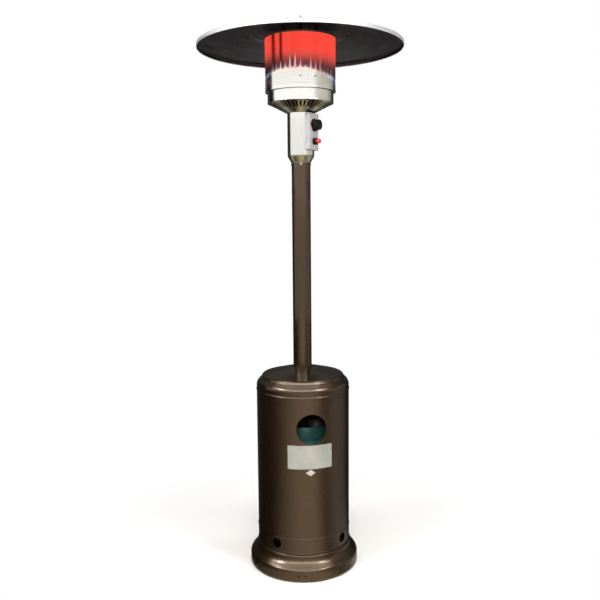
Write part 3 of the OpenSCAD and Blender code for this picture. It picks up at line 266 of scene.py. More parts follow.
def make(name, points, faces, materials, body, replaced=(), kinds=None, sharp=35):
    """A piece from points in millimetres and four-cornered faces. Points in one place are merged, and a
    face with two corners in one place becomes a triangle. kinds gives each face's material."""
    points = np.concatenate([np.asarray(p, float).reshape(-1, 3) for p in points]) * millimetre
    faces = np.concatenate([np.asarray(f).reshape(-1, 4) for f in faces])
    kinds = np.zeros(len(faces), int) if kinds is None else np.concatenate([np.ravel(k) for k in kinds])
    _, first, spot = np.unique(np.round(points, 7), axis=0, return_index=True, return_inverse=True)
    points, faces = points[first], spot.ravel()[faces]
    same = faces == np.roll(faces, -1, 1)
    whole, three = same.sum(1) == 0, same.sum(1) == 1
    kept = np.arange(4)[None, :] != np.argmax(same[three], 1)[:, None]
    triangles = faces[three][kept].reshape(-1, 3)
    data = bpy.data.meshes.new(name)
    data.from_pydata(points.tolist(), [], faces[whole].tolist() + triangles.tolist())
    for material in materials if isinstance(materials, (list, tuple)) else [materials]:
        data.materials.append(material)
    data.polygons.foreach_set("material_index", np.r_[kinds[whole], kinds[three]].astype(np.int32))
    data.polygons.foreach_set("use_smooth", np.ones(len(data.polygons), bool))
    data.set_sharp_from_angle(angle=math.radians(sharp))
    data.update()
    thing = placed(name, data)
    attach(thing, body)
    if replaced:
        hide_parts(*replaced)
    return thing


def thick(path, t):
    """The same path moved inwards by t, along the normal (dz, -dr) of its own line."""
    step = np.gradient(path, axis=0)
    step /= np.linalg.norm(step, axis=1)[:, None]
    return path - t * np.stack([step[:, 1], -step[:, 0]], 1)


def length_along(path):
    """How far each point of a path is from its start, measured along it."""
    return np.r_[0, np.cumsum(np.linalg.norm(np.diff(path, axis=0), axis=1))]


def pierced(name, path, t, holes, materials, body, replaced=(), count=192, ring=3):
    """A turned sheet with round or long holes. The sheet is a net over (angle, length along the path). A
    hole lies in a window of that net, and the window is filled by lines that run from its border to the
    hole's edge, whose point is the centre line's nearest point plus the radius towards the border. holes
    are (angle, place along the path, radius, half length, window half width, window half height, cells)."""
    length, inner = length_along(path), thick(path, t)
    even, turns, levels = np.arange(count) * 2 * np.pi / count, [], []
    plain = length
    for a, s, _, _, wide, high, cells in holes:
        r = np.interp(s, length, path[:, 0])
        turns.append(np.mod(a + np.linspace(-wide, wide, cells + 1) / r, 2 * np.pi))
        levels.append(s + np.linspace(-high, high, cells + 1))
        even = even[np.abs(np.mod(even - a + np.pi, 2 * np.pi) - np.pi) > wide / r + 2e-3]
        plain = plain[np.abs(plain - s) > high + 0.05]
    turns = np.unique(np.round(np.concatenate([even, *turns]), 9))
    levels = np.unique(np.round(np.concatenate([plain, *levels]), 6))
    n = len(turns)

    def at(a, s, side):
        line = (path, inner)[side]
        r, z = np.interp(s, length, line[:, 0]), np.interp(s, length, line[:, 1])
        return np.stack([r * np.cos(a), r * np.sin(a), z], -1)

    a, s = np.meshgrid(turns, levels)
    keep = np.ones((len(levels) - 1, n), bool)
    middle = (turns + np.r_[turns[1:], turns[0] + 2 * np.pi]) / 2
    for ca, cs, _, _, wide, high, _ in holes:
        r = np.interp(cs, length, path[:, 0])
        in_a = np.abs(np.mod(middle - ca + np.pi, 2 * np.pi) - np.pi) < wide / r
        keep &= ~((np.abs((levels[1:] + levels[:-1]) / 2 - cs) < high)[:, None] & in_a)
    outer = net(len(levels), n)[keep]
    points, faces = [at(a, s, 0), at(a, s, 1)], [outer, (outer + a.size)[:, ::-1]]
    kinds = [np.zeros(len(outer), int), np.ones(len(outer), int)]
    total = 2 * a.size
    for ca, cs, radius, half, wide, high, _ in holes:
        r = np.interp(cs, length, path[:, 0])
        rows = levels[np.abs(levels - cs) < high + 1e-3] - cs
        columns = np.mod(turns - ca + np.pi, 2 * np.pi) - np.pi
        columns = np.sort(columns[np.abs(columns) < wide / r + 1e-6]) * r
        m, k = len(columns) - 1, len(rows) - 1
        border = np.stack([
            np.concatenate([columns[:-1], np.full(k, columns[-1]), columns[:0:-1], np.full(k, columns[0])]),
            np.concatenate([np.full(m, rows[0]), rows[:-1], np.full(m, rows[-1]), rows[:0:-1]])], 1)
        spine = np.stack([np.zeros(len(border)), np.clip(border[:, 1], radius - half, half - radius)], 1)
        away = border - spine
        edge = spine + radius * away / np.linalg.norm(away, axis=1)[:, None]
        f = np.linspace(0, 1, ring + 1)[:, None, None] ** 0.8
        lines = (1 - f) * border + f * edge
        lips = []
        for side in (0, 1):
            points.append(at(ca + lines[..., 0] / r, cs + lines[..., 1], side))
            g = net(ring + 1, len(border), start=total).reshape(-1, 4)
            faces.append(g if side == 0 else g[:, ::-1])
            kinds.append(np.full(len(g), side))
            lips.append(total + ring * len(border) + np.arange(len(border)))
            total += lines.shape[0] * lines.shape[1]
        faces.append(np.stack([lips[0], np.roll(lips[0], -1), np.roll(lips[1], -1), lips[1]], 1))
        kinds.append(np.zeros(len(border), int))
    for row, flip in ((0, -1), (len(levels) - 1, 1)):
        o = row * n + np.arange(n)
        i = o + a.size
        faces.append(np.stack([o, np.roll(o, -1), np.roll(i, -1), i], 1)[:, ::flip])
        kinds.append(np.zeros(n, int))
    return make(name, points, faces, materials, body, replaced, kinds)


def enamel(name, deep, bright, flake, dent, coat):
    """Sprayed stove enamel with metal flake. Fine specks of two close tones are the flake, about 2 mm wide
    so that they show, shallow dents 8 mm apart are the hammer finish, and the coat is its gloss."""
    material = blank(name)
    where = add(material, "ShaderNodeTexCoord")
    cell = add(material, "ShaderNodeTexVoronoi", {"Vector": (where, "Object"), "Scale": 125.0},
               feature="SMOOTH_F1")
    cloud = add(material, "ShaderNodeTexNoise", {"Vector": (where, "Object"), "Scale": 14.0, "Detail": 2.0})
    speck = add(material, "ShaderNodeTexNoise", {"Vector": (where, "Object"), "Scale": 480.0, "Detail": 2.0})
    tone = add(material, "ShaderNodeValToRGB", {0: (speck, 0)}, ((0.3, deep), (0.7, bright)))
    rough = add(material, "ShaderNodeMapRange", {0: (cloud, 0), 1: 0.3, 2: 0.7, 3: 0.27, 4: 0.33})
    bump = add(material, "ShaderNodeBump", {"Height": (cell, "Distance"), "Strength": dent,
                                            "Distance": 0.0004})
    shader = add(material, "ShaderNodeBsdfPrincipled", {
        "Base Color": (tone, 0), "Metallic": flake, "Roughness": (rough, 0), "Normal": (bump, 0),
        "Coat Weight": coat, "Coat Roughness": 0.1})
    add(material, "ShaderNodeOutputMaterial", {"Surface": (shader, 0)})
    return material


# Hammered bronze stove enamel on the base, the post and the cover: brown with fine metal flake and gloss.
bronze = enamel("hammered bronze enamel, sprayed", "#3c2e20", "#58442f", 0.9, 0.3, 0.8)
# The same enamel inside the sheets, darkened there as painted shade, and duller.
bronze_shaded_inside = enamel("bronze enamel, painted shade inside", "#181310", "#241d17", 0.2, 0.2, 0.0)

pan_path = np.vstack([
    [(204, 0)], arc(219.5, 8, 8, -90, -8, 8), [(225.8, 13.5), (225.5, 17), (225.5, 35)],
    arc(202.5, 36, 23, 0, 52, 12),
    softened([(215.6, 55.6), (209.5, 61.3), (201.5, 70.6), (196.2, 79.5), (195.2, 86)], 8, 6),
    softened([(195.2, 86.4), (196.6, 89.2), (193.2, 96.4), (189.5, 98)], 1.8, 5), [(150, 98), (0, 98)]])
pan_sheet, wall_points, hole_height, hole_r, hole_window, hole_cells = 1.2, 14, 28, 3.4, 5.2, 6
hole_level = np.interp(hole_height, pan_path[:wall_points, 1], length_along(pan_path)[:wall_points])
pierced("base_shell", pan_path, pan_sheet,
        [(turn_of(turn), hole_level, hole_r, hole_r, hole_window, hole_window, hole_cells)
         for turn in (-5.6, 1.52, 31)],
        [bronze, bronze_shaded_inside], "stand", ("base_pan",), count=240)


# Ballast and bottom plate
# A cast concrete disc lies in the base, and a plate primed black closes it from below.
def coating(name, low, high, grain, rough, bump, metal=0.0, coat=0.0, depth=0.0003, gloss=0.5):
    """An even coat or moulded plastic: two close tones in a fine cloud, and its skin as a shallow bump. grain
    is how many marks lie in a metre: 200 are 5 mm wide, often coarser than real so that they show."""
    material = blank(name)
    where = add(material, "ShaderNodeTexCoord")
    cloud = add(material, "ShaderNodeTexNoise", {"Vector": (where, "Object"), "Scale": grain, "Detail": 4.0})
    tone = add(material, "ShaderNodeValToRGB", {0: (cloud, 0)}, ((0.35, low), (0.65, high)))
    dull = add(material, "ShaderNodeMapRange", {
        0: (cloud, 0), 1: 0.3, 2: 0.7, 3: rough - 0.05, 4: rough + 0.05})
    skin = add(material, "ShaderNodeBump", {"Height": (cloud, 0), "Strength": bump, "Distance": depth})
    shader = add(material, "ShaderNodeBsdfPrincipled", {
        "Base Color": (tone, 0), "Roughness": (dull, 0), "Normal": (skin, 0), "Metallic": metal,
        "Coat Weight": coat, "Coat Roughness": 0.06, "Specular IOR Level": gloss})
    add(material, "ShaderNodeOutputMaterial", {"Surface": (shader, 0)})
    return material


def dress(material, *names):
    """Gives CAD nodes their material."""
    for name in names:
        data = nodes[name].data
        data.materials.clear()
        data.materials.append(material)


# Cast concrete: rough and mottled grey, with fine pores.
dress(coating("concrete, cast", "#7d7a72", "#a19d93", 160.0, 0.9, 0.8, depth=0.001), "ballast_disc")
# Black wash primer: thin, dull and slightly uneven.
dress(coating("black primer, sprayed", "#171717", "#232323", 90.0, 0.7, 0.2), "base_bottom_plate")

# Legs
# Three bent flat bars stand on the deck round the bottle and are bolted to the post. They have a dark
# bronze powder coat, and their bolts and nuts are zinc plated.
# Powder coat: a satin skin with the fine orange peel of baked powder.
dress(coating("dark bronze powder coat, baked", "#2f2721", "#3d332b", 700.0, 0.42, 0.5, 0.2, 0.1),
      "leg_right", "leg_left", "leg_rear")


def bare_metal(name, dim, bright, grain, low, high, stretch=(1, 1, 1), bump=0.05, metal=1.0):
    """Bare or plated metal: the marks of rolling, spinning or plating are noise drawn out by stretch, and
    they show in its tint, its roughness and a very shallow bump. grain is how many lie in a metre."""
    material = blank(name)
    where = add(material, "ShaderNodeTexCoord")
    drawn = add(material, "ShaderNodeMapping", {"Vector": (where, "Object"), "Scale": stretch})
    marks = add(material, "ShaderNodeTexNoise", {"Vector": (drawn, 0), "Scale": grain, "Detail": 5.0})
    tone = add(material, "ShaderNodeValToRGB", {0: (marks, 0)}, ((0.3, dim), (0.7, bright)))
    rough = add(material, "ShaderNodeMapRange", {0: (marks, 0), 1: 0.3, 2: 0.7, 3: low, 4: high})
    skin = add(material, "ShaderNodeBump", {"Height": (marks, 0), "Strength": bump, "Distance": 0.0002})
    shader = add(material, "ShaderNodeBsdfPrincipled", {
        "Base Color": (tone, 0), "Roughness": (rough, 0), "Normal": (skin, 0), "Metallic": metal})
    add(material, "ShaderNodeOutputMaterial", {"Surface": (shader, 0)})
    return material


# Zinc plate: bright, a little blue and cloudy.
zinc = bare_metal("zinc plate, clear passivated", "#a9acb0", "#cfd1d3", 220.0, 0.25, 0.4)
dress(zinc, "leg_bolts", "leg_nuts", "gas_tube")


# Post
# A 76 mm steel tube from the tabs of the legs to the head, in the base's bronze enamel. Its ends are cut
# square and lightly broken.
def turned(name, outline, material, body, replaced=(), count=192, kinds=None, places=(None,),
           shape=None, sharp=35):
    """Solids of revolution from a closed outline of (radius, height), counter-clockwise. shape changes the
    points before places, a list of functions, put one copy each on its spot."""
    outline = np.vstack([outline, outline[:1]])
    points = around(outline, np.arange(count) * 2 * np.pi / count)
    points = points if shape is None else shape(points)
    copies = [points if put is None else put(points) for put in places]
    faces = [net(len(outline), count, start=i * len(outline) * count) for i in range(len(copies))]
    if kinds is not None:
        kinds = [np.repeat(np.asarray(kinds)[:, None], count, 1)] * len(copies)
    return make(name, copies, faces, material, body, replaced, kinds, sharp)


post_r, post_bore, post_foot, post_top = 38, 36.5, 774.2, 1666.2
turned("post_tube", softened([(post_bore, post_foot), (post_r, post_foot), (post_r, post_top),
                              (post_bore, post_top)], 0.5, 3, True),
       [bronze, bronze_shaded_inside], "stand", ("post",), count=128)

# Gas bottle
# A welded steel bottle of two domed halves with a seam round its middle and a boss at the top, in glossy
# dark teal enamel. Its ring, its guard, the brass valve and the regulator are the CAD's own.
bottle_r, seam_height = 159, 328
seam = np.linspace(-9, 9, 19)
bottle_outline = np.vstack([
    arc(0, 0, 1, -90, 0, 20) * (bottle_r, 60) + (0, 170),
    np.stack([bottle_r + 1.2 * np.exp(-((seam / 3) ** 2)), seam_height + seam], 1),
    arc(0, 0, 1, 0, 82.7, 24) * (bottle_r, 80) + (0, 486),
    [(20.2, 566.5), (20, 568), (20, 575), (19, 576), (12.1, 576), (0, 576)]])
# Glossy enamel, dark teal, with a faint orange peel.
teal = coating("dark teal enamel, glossy", "#34625f", "#3c6d69", 300.0, 0.3, 0.06, 0.0, 0.5)
turned("bottle_shell", bottle_outline, teal, "stand", ("gas_bottle",), count=160)
dress(teal, "bottle_foot_ring", "bottle_guard")
# Machined brass: warm yellow with fine turning marks.
brass = bare_metal("brass, machined", "#8f7238", "#c5a45c", 260.0, 0.22, 0.4)
dress(brass, "bottle_valve", "regulator_nut", "hose_fittings", "gas_valve", "valve_bush", "injector")
# Moulded black phenolic: deep black with a low sheen.
phenolic = coating("black phenolic, moulded", "#060608", "#0e0e11", 300.0, 0.42, 0.15, gloss=0.2)
dress(phenolic, "bottle_handwheel", "tilt_switch", "igniter_body")
# Painted die casting: dark grey with a slight texture.
dress(coating("zinc die casting, painted dark grey", "#1d2023", "#2b2e32", 240.0, 0.45, 0.3), "regulator")


# Gas hose
# A rubber hose runs from the regulator in a wide bend to the foot of the post and up inside it to the valve
# in the head. It hangs free between its two ferrules.
def tube(name, route, radius, material, replaced, side, sides=14):
    """A round tube along a smooth curve through the route's points, in millimetres, with rings across it.
    Between two points b and c, with a before them and d after, the curve is half of
    2 b + (c - a) f + (2 a - 5 b + 4 c - d) f^2 + (3 b - a - 3 c + d) f^3, for f from 0 to 1. Returns the
    piece and the curve's points in metres."""
    p = np.asarray(route, float)
    p = np.vstack([2 * p[0] - p[1], p, 2 * p[-1] - p[-2]])
    a, b, c, d = (p[k : len(p) - 3 + k][:, None] for k in range(4))
    f = np.linspace(0, 1, 4, endpoint=False)[None, :, None]
    line = (2 * b + (c - a) * f + (2 * a - 5 * b + 4 * c - d) * f**2 + (3 * b - a - 3 * c + d) * f**3) / 2
    line = np.vstack([line.reshape(-1, 3), p[-2]])
    along = np.gradient(line, axis=0)
    along /= np.linalg.norm(along, axis=1)[:, None]
    across = np.cross(side, along)
    across /= np.linalg.norm(across, axis=1)[:, None]
    turn = np.arange(sides) * 2 * np.pi / sides
    u, v = across[:, None], np.cross(along, across)[:, None]
    rings = line[:, None] + radius * (np.cos(turn)[:, None] * u + np.sin(turn)[:, None] * v)
    ends = [np.repeat(end[None, None], sides, 1) for end in (line[0], line[-1])]
    points = np.concatenate([ends[0], rings, ends[1]])
    made = make(name, [points], [net(len(points), sides)], material, "stand", replaced)
    return made, (line * millimetre).tolist()


# Gas hose rubber: black, dull, finely ribbed by its cloth wrap.
hose_rubber = coating("gas hose rubber, extruded", "#151413", "#221f1d", 900.0, 0.65, 0.5)
hose_route = [
    (94, -42, 612), (106, -33, 612), (126, -18, 616), (142, -6, 628), (150, 0, 646), (152, 1, 668),
    (146, 1, 690), (132, 0, 708), (112, 0, 720), (90, 0, 727), (68, 0, 735), (48, 0, 747), (32, 0, 763),
    (24, 0, 786), (19, 0, 816), (14, 0, 848), (8, 0, 884), (3, 0, 920), (0, 0, 956),
    *[(0, 0, z) for z in range(992, 1713, 36)], (0, 0, 1757)]
hose, path = tube("gas_hose_rubber", hose_route, 6, hose_rubber, ("gas_hose",), (0, 1, 0),
                  sides=20)

# Barrel of the cover
# Rolled steel sheet in bronze enamel with a pressed bead at its foot and at its top, four air holes below
# and the hand hole in front. It stands on the deck and slides up with its cap.
barrel_r = 191.5


def bead(height, out, half):
    """A pressed bead: its radius is the barrel's plus out cos^2(pi t / 2), and its height is height + half t,
    for t from -1 to 1."""
    t = np.linspace(-1, 1, 11)
    return np.stack([barrel_r + out * np.cos(t * np.pi / 2) ** 2, height + half * t], 1)


barrel_path = np.vstack([
    [(191.2, 98.2)], bead(102, 1.4, 3.5), [(barrel_r, 112), (barrel_r, 156)], bead(162.2, 1.9, 4.9),
    np.stack([np.full(22, barrel_r), np.linspace(172, 734, 22)], 1), bead(742.2, 1.8, 3.15),
    [(barrel_r, 747.2), (191.1, 748), (190.6, 748.2)]])


def barrel_at(z):
    """How far along the barrel's path its sheet is at height z."""
    return np.interp(z, barrel_path[:, 1], length_along(barrel_path))


cover_sheet, vent_r, vent_window, hand_r, hand_window = 1.0, 20, 23, 61, 70
vents = [(turn_of(55 + 90 * k), barrel_at(136.2), vent_r, vent_r, vent_window, vent_window, 12)
         for k in range(4)]
hand_hole = (turn_of(10), barrel_at(616.2), hand_r, hand_r, hand_window, hand_window, 24)
pierced("cover_barrel", barrel_path, cover_sheet, [*vents, hand_hole], [bronze, bronze_shaded_inside], "tank_cover",
        ("housing_barrel",), count=200, ring=4)


# Cap of the cover
# A spun steel cap with a round shoulder, a rolled ring and a low crown up to the post, turned in at its
# collar. Its spigot sits inside the barrel's top, just above the upper bead.
def sheet_outline(path, t):
    """Closed outline of a sheet of thickness t under an outer path."""
    return np.vstack([path, thick(path, t)[::-1]])


cap_path = np.vstack([
    [(190.2, 736.2), (190.2, 748.3)],
    softened([(190.4, 748.4), (191.4, 748.5), (191.5, 750.5), (191.5, 753.5)], 0.8, 3),
    arc(161.5, 759.2, 30, 0, 42, 14),
    softened([(183.3, 779.8), (171.4, 792.2), (168.4, 799.2), (163.4, 803.7), (156.5, 805.3)], 1.6, 5)[:-1],
    softened([(156.5, 805.3), (140, 809.4), (120, 815.0), (100, 820.2), (72, 826.6), (41.5, 832.9)], 12, 4),
    softened([(40.5, 833.1), (39.4, 833.2), (39.5, 828.2)], 0.8, 4)])
turned("cover_cap", sheet_outline(cap_path, cover_sheet), bronze, "tank_cover",
       ("housing_cap",), count=240)


# Plate and diamond
# A bare silvery film plate is glued to the barrel below the hand hole, and a small white diamond below it.
def slab(name, across, height, radius, t, material, body, replaced, middle):
    """A thin skin on a cylinder. across and height are nets of arc length and height, and the skin lies
    between radius and radius + t, about the middle angle."""
    a = middle + across / radius
    faces, points = [], []
    rows, columns = across.shape
    for i, r in enumerate((radius + t, radius)):
        points.append(np.stack([r * np.cos(a), r * np.sin(a), height], -1))
        g = net(rows, columns, False, i * across.size).reshape(-1, 4)
        faces.append(g if i == 0 else g[:, ::-1])
    index = np.arange(across.size).reshape(rows, columns)
    for edge in (index[0], index[:, -1], index[-1, ::-1], index[::-1, 0]):
        o, i = edge, edge + across.size
        faces.append(np.stack([o[1:], o[:-1], i[:-1], i[1:]], 1))
    return make(name, points, faces, material, body, replaced)


# Silvery polyester film: pale, warm grey and satin, quite bare.
silver_film = coating("silver polyester film", "#969791", "#a5a59f", 14.0, 0.38, 0.05, 0.15, 0.2)
# White polyester film.
white_film = coating("white polyester film", "#b4aaa0", "#beb5ac", 14.0, 0.4, 0.05, 0.0, 0.2)
film_r, film_sheet, film_turn = barrel_r + 0.2, 0.5, turn_of(8.5)
plate_half, plate_low, plate_high = 92, 456.2, 552.2
u, v = np.meshgrid(np.linspace(-plate_half, plate_half, 41), np.linspace(plate_low, plate_high, 5))
slab("plate_film", u, v, film_r, film_sheet, silver_film, "tank_cover", ("bare_plate",),
     film_turn)
diamond_half, diamond_rise, diamond_height = 19.5, 13, 441.2
u, v = np.meshgrid(np.linspace(-1, 1, 7), np.linspace(-1, 1, 7))
slab("diamond_film", (u - v) * diamond_half / 2, diamond_height + (u + v) * diamond_rise / 2, film_r,
     film_sheet, white_film, "tank_cover", ("diamond_plate",), film_turn)

# Head's socket, taper and housing
# A steel socket in the post carries a polished stainless taper and a round housing of rolled stainless
# sheet. The gas valve's window in the housing is behind the control panel, and a small plain dot of film is
# stuck low beside it.
# Plain steel, rolled: grey, satin.
steel = bare_metal("plain steel, rolled", "#85847f", "#a8a69f", 120.0, 0.35, 0.5)
# Bright rolled stainless: nearly mirror, with faint upright rolling marks.
stainless = bare_metal("stainless steel, bright rolled", "#edebe6", "#f7f5f0", 60.0, 0.12, 0.2,
                       (6, 6, 0.4), 0.01)
# The same steel where the burner's heat has dulled it: brown and straw tints, satin.
stainless_dulled = bare_metal("stainless steel, dulled by heat", "#8f8869", "#b9b193", 90.0, 0.2, 0.32,
                              (3, 3, 1))
# Steel inside the head, blued and sooted.
stainless_sooted = bare_metal("stainless steel, sooted inside", "#15130f", "#2b2620", 90.0, 0.45, 0.6,
                              (3, 3, 1))
dress(steel, "head_socket", "head_plate", "valve_plug", "valve_spindle", "pilot_burner")
dress(stainless_sooted, "burner_tube", "burner_cup", "burner_plate")
dress(stainless, "emitter_ring")
dress(stainless_dulled, "top_plate")
housing_r, head_sheet = 53.5, 1.0
taper_outline = softened([(38.3, 1661.2), (39.4, 1661.2), (40.3, 1664.5), (housing_r, 1687.0),
                          (housing_r, 1690), (housing_r - head_sheet, 1690), (housing_r - head_sheet, 1687.4),
                          (39.3, 1664.9)], 0.9, 4, True)
turned("taper_collar", taper_outline, stainless_dulled, "stand", ("control_taper",), count=160)
housing_path = np.stack([np.full(12, housing_r), np.linspace(1690.2, 1854.2, 12)], 1)
panel_angle = math.radians(-32)
valve_window = (panel_angle, 90.5, 23, 59.5, 26, 63, 14)
pierced("head_housing", housing_path, head_sheet, [valve_window], stainless, "stand",
        ("control_housing",), count=160)

# Yellow-green polyester film: a plain round dot stuck low on the housing.
dot_film = coating("yellow green polyester film", "#a9ad58", "#b6ba66", 14.0, 0.4, 0.05, 0.0, 0.2)
dot_r, dot_height = 5, 1703.6
u, v = np.meshgrid(np.linspace(0, 2 * math.pi, 25), np.linspace(0.001, 1, 4))
slab("housing_dot", dot_r * v * np.cos(u), dot_height - dot_r * v * np.sin(u), housing_r + 0.1, 0.2, dot_film,
     "stand", (), turn_of(42))


# Head screws
# Four zinc plated pan head screws with a cross recess hold the head in the post. The panel and the emitter
# have smaller ones of the same kind.
def on_axis(origin, out):
    """Puts a piece's own z along out and its x along the horizontal beside it."""
    n = np.asarray(out, float) / np.linalg.norm(out)
    x = np.cross((0, 0, 1), n)
    x /= np.linalg.norm(x)
    turn = np.stack([x, np.cross(n, x), n])
    return lambda p: p @ turn + np.asarray(origin, float)


def screws(name, spots, head, height, shank, depth, replaced):
    """Pan head screws: a dome of the given radius and height on a shank, with a cross pressed into it."""
    outline = np.vstack([[(0, -depth), (shank, -depth), (shank, 0)],
                         softened([(shank, 0), (head, 0), (head * 0.96, height * 0.55),
                                   (head * 0.5, height), (0, height)], head * 0.3, 4)[1:]])
    outline = np.vstack([outline[:-1], np.stack([np.linspace(head * 0.45, 0, 6), np.full(6, height)], 1)])

    def cross(p):
        near = np.minimum(np.abs(p[..., 0]), np.abs(p[..., 1]))
        away = np.hypot(p[..., 0], p[..., 1])
        cut = (near < head * 0.13) & (away < head * 0.4) & (p[..., 2] > height * 0.9)
        return p - np.stack([0 * near, 0 * near, cut * height * 0.45], -1)

    return turned(name, outline, zinc, "stand", replaced, count=32, places=spots, shape=cross,
                  sharp=30)


def facing(turns, radius, height):
    """Spots on a cylinder, each looking outwards."""
    return [on_axis((radius * math.cos(a), radius * math.sin(a), height), (math.cos(a), math.sin(a), 0))
            for a in map(math.radians, turns)]


screws("head_pan_screws", facing((-90, 0, 90, 180), post_r + 0.2, 1655.2), 5.4, 2.6, 3, 5, ("head_screws",))


# Control panel
# A box of thin steel with rounded edges on the right of the front, printed speckled grey. It stands on the
# housing and carries the knob and the igniter.
def pillow(half, radius, n):
    """A box with rounded edges: each point is the box's inner corner in its own eighth of space plus the
    radius times the sphere's normal there. Returns points and faces."""
    half = np.asarray(half, float)
    q = np.linspace(0, np.pi / 2, n)
    a = np.concatenate([k * np.pi / 2 + q for k in range(4)])
    b = np.concatenate([-q[::-1], q])
    a, b = np.meshgrid(a, b)
    normal = np.stack([np.cos(b) * np.cos(a), np.cos(b) * np.sin(a), np.sin(b)], -1)
    east = np.repeat([[1, -1, -1, 1]], n, 1).reshape(-1, 4, order="F").T.ravel()
    north = np.repeat([[1, 1, -1, -1]], n, 1).reshape(-1, 4, order="F").T.ravel()
    upper = np.repeat([-1, 1], n)
    sign = np.stack(np.broadcast_arrays(east[None, :], north[None, :], upper[:, None]), -1)
    return sign * (half - radius) + radius * normal, net(2 * n, 4 * n)


def swung(points, angle, i, j):
    """Points turned by an angle in the plane of their axes i and j."""
    p = np.array(points, float)
    c, s = math.cos(angle), math.sin(angle)
    p[..., i], p[..., j] = p[..., i] * c - p[..., j] * s, p[..., i] * s + p[..., j] * c
    return p


def in_panel(points, out=0.0, left=0.0, up=0.0):
    """From the panel's own axes, x out of it and y to its left, to the heater's."""
    return swung(np.asarray(points) + (out, left, up), panel_angle, 0, 1)


# Printed panel: grey with fine dark and pale specks, satin.
panel_grey = blank("panel print, speckled grey")
where = add(panel_grey, "ShaderNodeTexCoord")
speck = add(panel_grey, "ShaderNodeTexNoise", {"Vector": (where, "Object"), "Scale": 260.0, "Detail": 6.0,
                                               "Roughness": 0.8})
tone = add(panel_grey, "ShaderNodeValToRGB", {0: (speck, 0)}, (
    (0.38, "#77777b"), (0.52, "#a9a9ad"), (0.64, "#d6d6d8")))
shader = add(panel_grey, "ShaderNodeBsdfPrincipled", {
    "Base Color": (tone, 0), "Roughness": 0.4, "Metallic": 0.2, "Coat Weight": 0.15})
add(panel_grey, "ShaderNodeOutputMaterial", {"Surface": (shader, 0)})
panel_deep, panel_wide, panel_high, panel_middle = 26, 70, 143, 1780.7
panel_face = 62
p, f = pillow((panel_deep / 2, panel_wide / 2, panel_high / 2), 3.5, 6)
make("panel_box", [in_panel(p, panel_face - panel_deep / 2, 0, panel_middle)], [f], panel_grey, "stand",
     ("control_panel",))


def panel_spot(out, left, up):
    """A spot over the panel whose own z looks out of it."""
    return on_axis(in_panel((out, left, up)), in_panel((1, 0, 0)))


corners = [panel_spot(panel_face + 0.1, side * 28, level) for side in (-1, 1) for level in (1716.2, 1845.2)]
screws("panel_pan_screws", corners, 3.8, 2, 2.2, 5, ("panel_screws",))

# Knob and ring
# A moulded black ring with red marks lies on the panel, and the fluted black knob turns in front of it.
knob_height = 1806.2
# Moulded black with red printed marks: five short strokes round the ring, one for each step of the flame.
marked = blank("black phenolic, red printed marks")
where = add(marked, "ShaderNodeTexCoord")
moved = add(marked, "ShaderNodeMapping", {
    "Vector": (where, "Object"), "Location": (0, 0, -knob_height * millimetre)})
moved = add(marked, "ShaderNodeMapping", {"Vector": (moved, 0), "Rotation": (0, 0, -panel_angle)})
part = add(marked, "ShaderNodeSeparateXYZ", {0: (moved, 0)})
turn = add(marked, "ShaderNodeMath", {0: (part, "Z"), 1: (part, "Y")}, operation="ARCTAN2")
wave = add(marked, "ShaderNodeMath", {0: (turn, 0), 1: 5.0}, operation="MULTIPLY")
wave = add(marked, "ShaderNodeMath", {0: (wave, 0)}, operation="COSINE")
wave = add(marked, "ShaderNodeMath", {0: (wave, 0), 1: 0.72}, operation="GREATER_THAN")
side = add(marked, "ShaderNodeMath", {0: (part, "Y"), 1: 0.004}, operation="LESS_THAN")
mark = add(marked, "ShaderNodeMath", {0: (wave, 0), 1: (side, 0)}, operation="MULTIPLY")
tone = add(marked, "ShaderNodeValToRGB", {0: (mark, 0)}, ((0.3, "#0a0a0c"), (0.7, "#8e1a22")))
shader = add(marked, "ShaderNodeBsdfPrincipled", {
    "Base Color": (tone, 0), "Roughness": 0.4, "Specular IOR Level": 0.15})
add(marked, "ShaderNodeOutputMaterial", {"Surface": (shader, 0)})
ring_outline = softened([(9.2, 0.1), (24.5, 0.1), (24.3, 2.2), (22.8, 3), (9.2, 3)], 0.5, 3, True)
turned("knob_ring", ring_outline, marked, "stand", ("knob_bezel",),
       places=[panel_spot(panel_face, 0, knob_height)])


def fluted(p):
    """28 flutes round the grip: the radius goes in and out as the cosine of 28 times the angle, only
    between the skirt and the rounded front edge."""
    a = np.arctan2(p[..., 1], p[..., 0])
    r = np.hypot(p[..., 0], p[..., 1])
    z = p[..., 2]
    grip = np.clip((z - 4.6) / 1.5, 0, 1) * np.clip((19 - z) / 1.5, 0, 1) * (r > 18)
    k = 1 - 0.014 * grip * (1 - np.cos(28 * a))
    return p * np.stack([k, k, np.ones_like(k)], -1)


knob_outline = np.vstack([
    [(3.1, 16), (3.1, 0.4), (3.4, 0)],
    softened([(4, 0), (22, 0), (22.5, 1.2), (22.4, 3), (20.8, 3.9), (20.4, 4.8)], 0.8, 4),
    np.stack([np.linspace(20.4, 20.1, 6), np.linspace(5.5, 15, 6)], 1),
    softened([(20, 16), (19.9, 18.9), (17, 19.6), (15.4, 18.8), (6, 18.5), (0, 18.5)], 1.4, 5), [(0, 16)]])
turned("knob_grip", knob_outline, phenolic, "knob", ("control_knob",), count=240,
       places=[panel_spot(panel_face + 7.6, 0, knob_height)], shape=fluted)
p, f = pillow((0.9, 1.1, 6.2), 0.6, 4)
make("knob_pointer", [in_panel(p, panel_face + 26.4, 0, knob_height + 8)], [f], phenolic, "knob")

# Igniter
# A black collar of moulded phenolic holds the piezo igniter to the panel, and its red button stands out in
# front.
igniter_height = 1743.2


